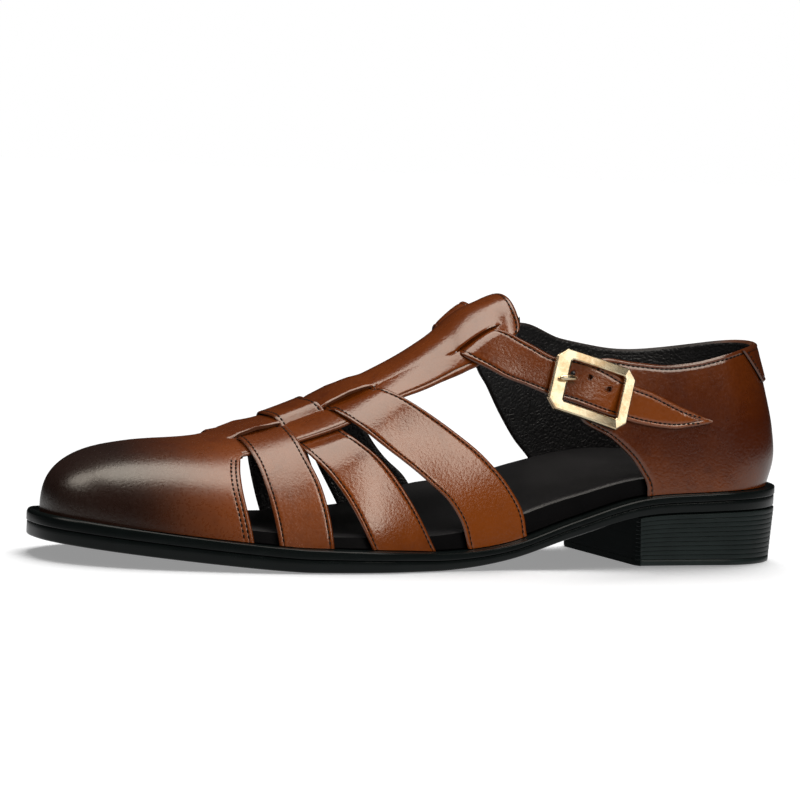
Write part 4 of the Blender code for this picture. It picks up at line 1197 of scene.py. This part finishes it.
# %% Buckle
BUCKLE_AT, BUCKLE_TURN, BUCKLE_TIP, BUCKLE_LEVEL, BUCKLE_SHIFT = (94.4, 0.189), 0.045, 0.105, 2.35, 0.3
BUCKLE_LENGTH, BUCKLE_HEIGHT, BUCKLE_THICK, BUCKLE_CUT = 33.4, 24.0, 2.4, 3.6
TOE_BAR, HEEL_BAR, TOP_BAR, LOW_BAR, BAR_POINTS = 6.2, 4.4, 3.6, 3.9, 13
# drop of the whole frame and of its faces towards both ends, and rise of the heel bar's outer edge
FRAME_BOW, FACE_BOW, HEEL_BAR_RISE = 0.25, 0.65, 0.56


def buckle_axes():
    """Middle of the buckle, and its directions along, up and out."""
    station, turn = BUCKLE_AT
    middle, out = place(station, turn, BUCKLE_LEVEL), normal(station, turn)
    along = place(78.0, 0.150, BUCKLE_LEVEL) - place(109.0, 0.226, BUCKLE_LEVEL)
    along = along - out * float(along @ out)
    along = along / np.linalg.norm(along)
    up = np.cross(out, along)
    up = -up if up[2] < 0 else up
    turned = along * np.cos(BUCKLE_TURN) - up * np.sin(BUCKLE_TURN)
    up = up * np.cos(BUCKLE_TURN) + along * np.sin(BUCKLE_TURN)
    level, slope = np.cos(BUCKLE_TIP), np.sin(BUCKLE_TIP)
    return middle + turned * BUCKLE_SHIFT, turned, up * level - out * slope, out * level + up * slope


def antique_brass():
    brass = Finish("antique_brass", metallic=1.0)
    brushed = brass.noise(1.0, 3.0, 0.6, brass.stretched((350.0, 350.0, 2600.0)))
    tarnish = brass.noise(220.0, 4.0, 0.65)
    gold = brass.mix(tarnish.between(0.35, 0.7), (0.86, 0.75, 0.53), (0.66, 0.47, 0.27))
    brass.feed("Base Color", gold)
    brass.feed("Roughness", 0.2 + brushed * 0.1)
    brass.bump(brushed, 0.02, 0.1)
    return brass.material


def long_bar(first, last):
    """Points along a bar from one mitre to the next, so that it can bow."""
    run = np.linspace(0.0, 1.0, BAR_POINTS)[:, None]
    return np.array([first]) * (1 - run) + np.array([last]) * run


def eight(part):
    """Corners of the frame and points along its long bars, from its outline (0) to its window (1)."""
    toe, heel = -BUCKLE_LENGTH / 2.0 + TOE_BAR * part, BUCKLE_LENGTH / 2.0 - HEEL_BAR * part
    top, low = BUCKLE_HEIGHT / 2.0 - TOP_BAR * part, -BUCKLE_HEIGHT / 2.0 + LOW_BAR * part
    cut = BUCKLE_CUT + (0.5 - BUCKLE_CUT) * part
    low_bar = long_bar((toe + cut, low), (heel - cut, low))
    top_bar = long_bar((heel - cut, top + 0.9), (toe + cut, top + 0.5))
    heel_bar = [(heel, low + cut), (heel, top - cut + 0.6)]
    toe_bar = [(toe, top - cut + 0.3), (toe, low + cut)]
    return np.concatenate([low_bar, heel_bar, top_bar, toe_bar, low_bar[:1]])


brass = antique_brass()
middle, along, up, out = buckle_axes()
# share of the way from the outline to the window, height over the buckle's middle
section = ((0.0, 1.0), (0.0, 2.8), (0.1, 3.4), (0.9, 3.4), (1.0, 3.1), (1.0, 1.0))
rows = []
for part, depth in section + section[:1]:
    corners = eight(part)
    along_share = corners[:, :1] * 2.0 / BUCKLE_LENGTH
    face = 1.0 if depth > 2.0 else 0.0
    heel_end = np.zeros(along_share.shape)
    heel_end[BAR_POINTS:BAR_POINTS + 2] = HEEL_BAR_RISE if part < 0.5 else 0.0
    bowed = depth - FRAME_BOW * along_share**2 - face * (FACE_BOW * along_share**2 - heel_end)
    rows.append(middle + corners[:, :1] * along + corners[:, 1:] * up + out * bowed)
frame_piece = grid_piece("buckle_ring", np.array(rows), wrap=True)
edges = frame_piece.modifiers.new("edges", "BEVEL")
edges.width = 0.16 * MM
edges.segments = 2
edges.limit_method = "ANGLE"
edges.angle_limit = math.radians(20.0)
bpy.context.view_layer.objects.active = frame_piece
bpy.ops.object.modifier_apply(modifier="edges")
frame_piece.data.materials.append(brass)
hand_over(frame_piece, "buckle_brass", "buckle_frame", angle=2.6)

# %% Prong
PRONG_RADIUS, PRONG_POINTS = 1.1, 17
rest = 0.6 + BUCKLE_THICK + 0.1 + PRONG_RADIUS
# places along, up and out from the buckle's middle, from the hole to the prong's tip
path = np.array([
    (-6.6, 2.25, -0.2), (-6.9, 2.1, 0.6), (-7.6, 1.9, 2.2), (-8.8, 1.5, 3.5), (-10.4, 1.0, rest),
    (-12.2, 0.4, rest + 0.1), (-13.6, 0.0, rest), (-14.2, -0.2, rest - 0.1), (-14.4, -0.25, rest - 0.15)])
width = np.array([0.9, 1.0, 1.0, 1.0, 1.05, 1.05, 0.95, 0.6, 0.0]) * PRONG_RADIUS
spread = np.linspace(0.0, 2.0 * np.pi, PRONG_POINTS)
line = middle + path @ np.array([along, up, out])
rows = [np.tile(line[0], (PRONG_POINTS, 1))]
for point, heading, radius in zip(line, np.gradient(line, axis=0), width):
    across = np.cross(heading, up)
    across, heading = across / np.linalg.norm(across), heading / np.linalg.norm(heading)
    high = np.cross(across, heading)
    rows.append(point + radius * (across * np.cos(spread)[:, None] + high * np.sin(spread)[:, None]))
prong = grid_piece("prong_rod", np.array(rows), wrap=True)
prong.data.materials.append(brass)
hand_over(prong, "buckle_brass", "buckle_prong")

# %% [markdown]
# ## Studio
# A pale floor runs out to white under a wide sun that lights nothing else. The shoe has a broad soft light
# overhead, a tall strip for the sheen on its straps, a small light at the toe and two fills that leave no
# reflection, and one lamp is kept for the brass. One bright dome would be simpler, but it would wash out
# the polish. So the sky is white to the camera alone. The shoe sees it dark, with a glow below the horizon
# that stands for the floor. The camera stands where the photograph's did: low, in front of the outer side,
# with a long lens and a slight roll.

# %% Floor
bpy.ops.object.select_all(action="DESELECT")
bpy.ops.mesh.primitive_plane_add(size=12.0, location=(0.0, 0.0, 0.0))
floor = bpy.context.object
floor.name = "floor"
pale = Finish("pale_floor", base_color=(0.9, 0.9, 0.9), roughness=0.8, specular_ior_level=0.1,
              emission_color=(1.0, 1.0, 1.0), emission_strength=0.28)
floor.data.materials.append(pale.material)
floor.visible_diffuse = False
floor.visible_glossy = False


# %% Soft lamps, and the pieces that each lamp reaches
def softbox(name, where, aim, size, power):
    bpy.ops.object.light_add(type="AREA", location=where)
    lamp = bpy.context.object
    lamp.name = name
    lamp.data.shape = "RECTANGLE"
    lamp.data.size, lamp.data.size_y = size
    lamp.data.energy = power
    lamp.rotation_euler = (Vector(aim) - Vector(where)).to_track_quat("-Z", "Y").to_euler()
    return lamp


def lit(name, pieces, state="INCLUDE"):
    """The pieces that a lamp reaches, or all but them."""
    group = bpy.data.collections.new(name)
    for piece in pieces:
        group.objects.link(piece)
    for entry in group.collection_objects:
        entry.light_linking.link_state = state
    return group


WARM = (1.0, 0.945, 0.87)
shoe = lit("shoe", [floor], "EXCLUDE")
leather_side = lit("leather_side", [floor, frame_piece, prong], "EXCLUDE")
brass_side = lit("brass_side", [frame_piece, prong])
lamps = [
    (softbox("overhead", (-0.20, -0.10, 1.25), (-0.20, -0.10, 0.0), (1.6, 0.81), 17.6), shoe, True),
    (softbox("tall_strip", (1.14, -1.90, 1.78), (0.0, 0.0, 0.06), (0.70, 2.50), 28.0), leather_side, True),
    (softbox("toe_side", (-1.1, 0.24, 0.90), (-0.1, 0.0, 0.03), (0.6, 0.6), 4.0), leather_side, True),
    (softbox("front_fill", (0.1, -1.6, 0.5), (0.0, 0.0, 0.06), (1.0, 0.8), 12.5), shoe, False),
    (softbox("behind", (0.2, 1.4, 0.7), (0.0, 0.0, 0.05), (1.2, 0.8), 6.0), shoe, False),
    (softbox("brass_glint", (0.17, -1.27, 0.58), (0.06, -0.04, 0.07), (0.98, 0.70), 4.3), brass_side, True),
]
for lamp, group, mirrored in lamps:
    lamp.data.color = WARM
    lamp.light_linking.receiver_collection = group
    lamp.visible_glossy = mirrored

bpy.ops.object.light_add(type="SUN", location=(0.0, 0.0, 3.0))
wash = bpy.context.object
wash.name = "floor_wash"
wash.data.energy = 3.15
wash.data.angle = math.radians(40.0)
wash.rotation_euler = Vector((-0.32, -0.40, -0.86)).to_track_quat("-Z", "Y").to_euler()
wash.light_linking.receiver_collection = lit("floor_side", [floor])
print("lamps:", [lamp.name for lamp, group, mirrored in lamps] + [wash.name])


# %% Sky
class Sky(Finish):
    def __init__(self, world):
        world.use_nodes = True
        self.tree = world.node_tree
        self.shader = self.tree.nodes["Background"]


world = bpy.data.worlds.new("studio")
bpy.context.scene.world = world
sky = Sky(world)
sky.feed("Color", (1.0, 1.0, 1.0))
direction = sky.add("ShaderNodeTexCoord", output="Generated")
height = Wire(sky, sky.add("ShaderNodeSeparateXYZ", None, {0: direction}).socket.node.outputs["Z"])
seen = sky.add("ShaderNodeLightPath", output="Is Camera Ray")
around = 0.01 + height.between(0.1, 0.9) * 0.03 + (0.0 - height).between(0.0, 0.13) * 0.62
sky.feed("Strength", around * (1.0 - seen) + seen)
bpy.context.scene.view_settings.view_transform = "Standard"

# %% Camera
# yaw, tilt and roll in degrees, the point it looks at and its distance in mm
CAMERA_TURN, CAMERA_AIM, CAMERA_DISTANCE = (24.092, 4.342, 2.678), (-8.702, 0.0, 59.867), 1611.02
# focal length and photograph's width in pixels, sensor in mm
FOCAL_PIXELS, PHOTO_PIXELS, SENSOR_WIDTH = 4235.0, 800.0, 36.0
yaw, tilt, roll = (math.radians(angle) for angle in CAMERA_TURN)
look = Vector((math.sin(yaw) * math.cos(tilt), math.cos(yaw) * math.cos(tilt), -math.sin(tilt)))
right = Vector((math.cos(yaw), -math.sin(yaw), 0.0))
upward = Vector((math.sin(yaw) * math.sin(tilt), math.cos(yaw) * math.sin(tilt), math.cos(tilt)))
rolled_right = right * math.cos(roll) + upward * math.sin(roll)
rolled_up = upward * math.cos(roll) - right * math.sin(roll)
eye = Vector(CAMERA_AIM) * MM - look * CAMERA_DISTANCE * MM
bpy.ops.object.camera_add(location=eye)
camera = bpy.context.object
turning = Matrix((rolled_right, rolled_up, -look)).transposed()
camera.matrix_world = Matrix.Translation(eye) @ turning.to_4x4()
camera.data.sensor_width = SENSOR_WIDTH
camera.data.lens = FOCAL_PIXELS / PHOTO_PIXELS * SENSOR_WIDTH
camera.data.clip_end = 50.0
bpy.context.scene.camera = camera
print("lens, mm:", round(camera.data.lens, 1))
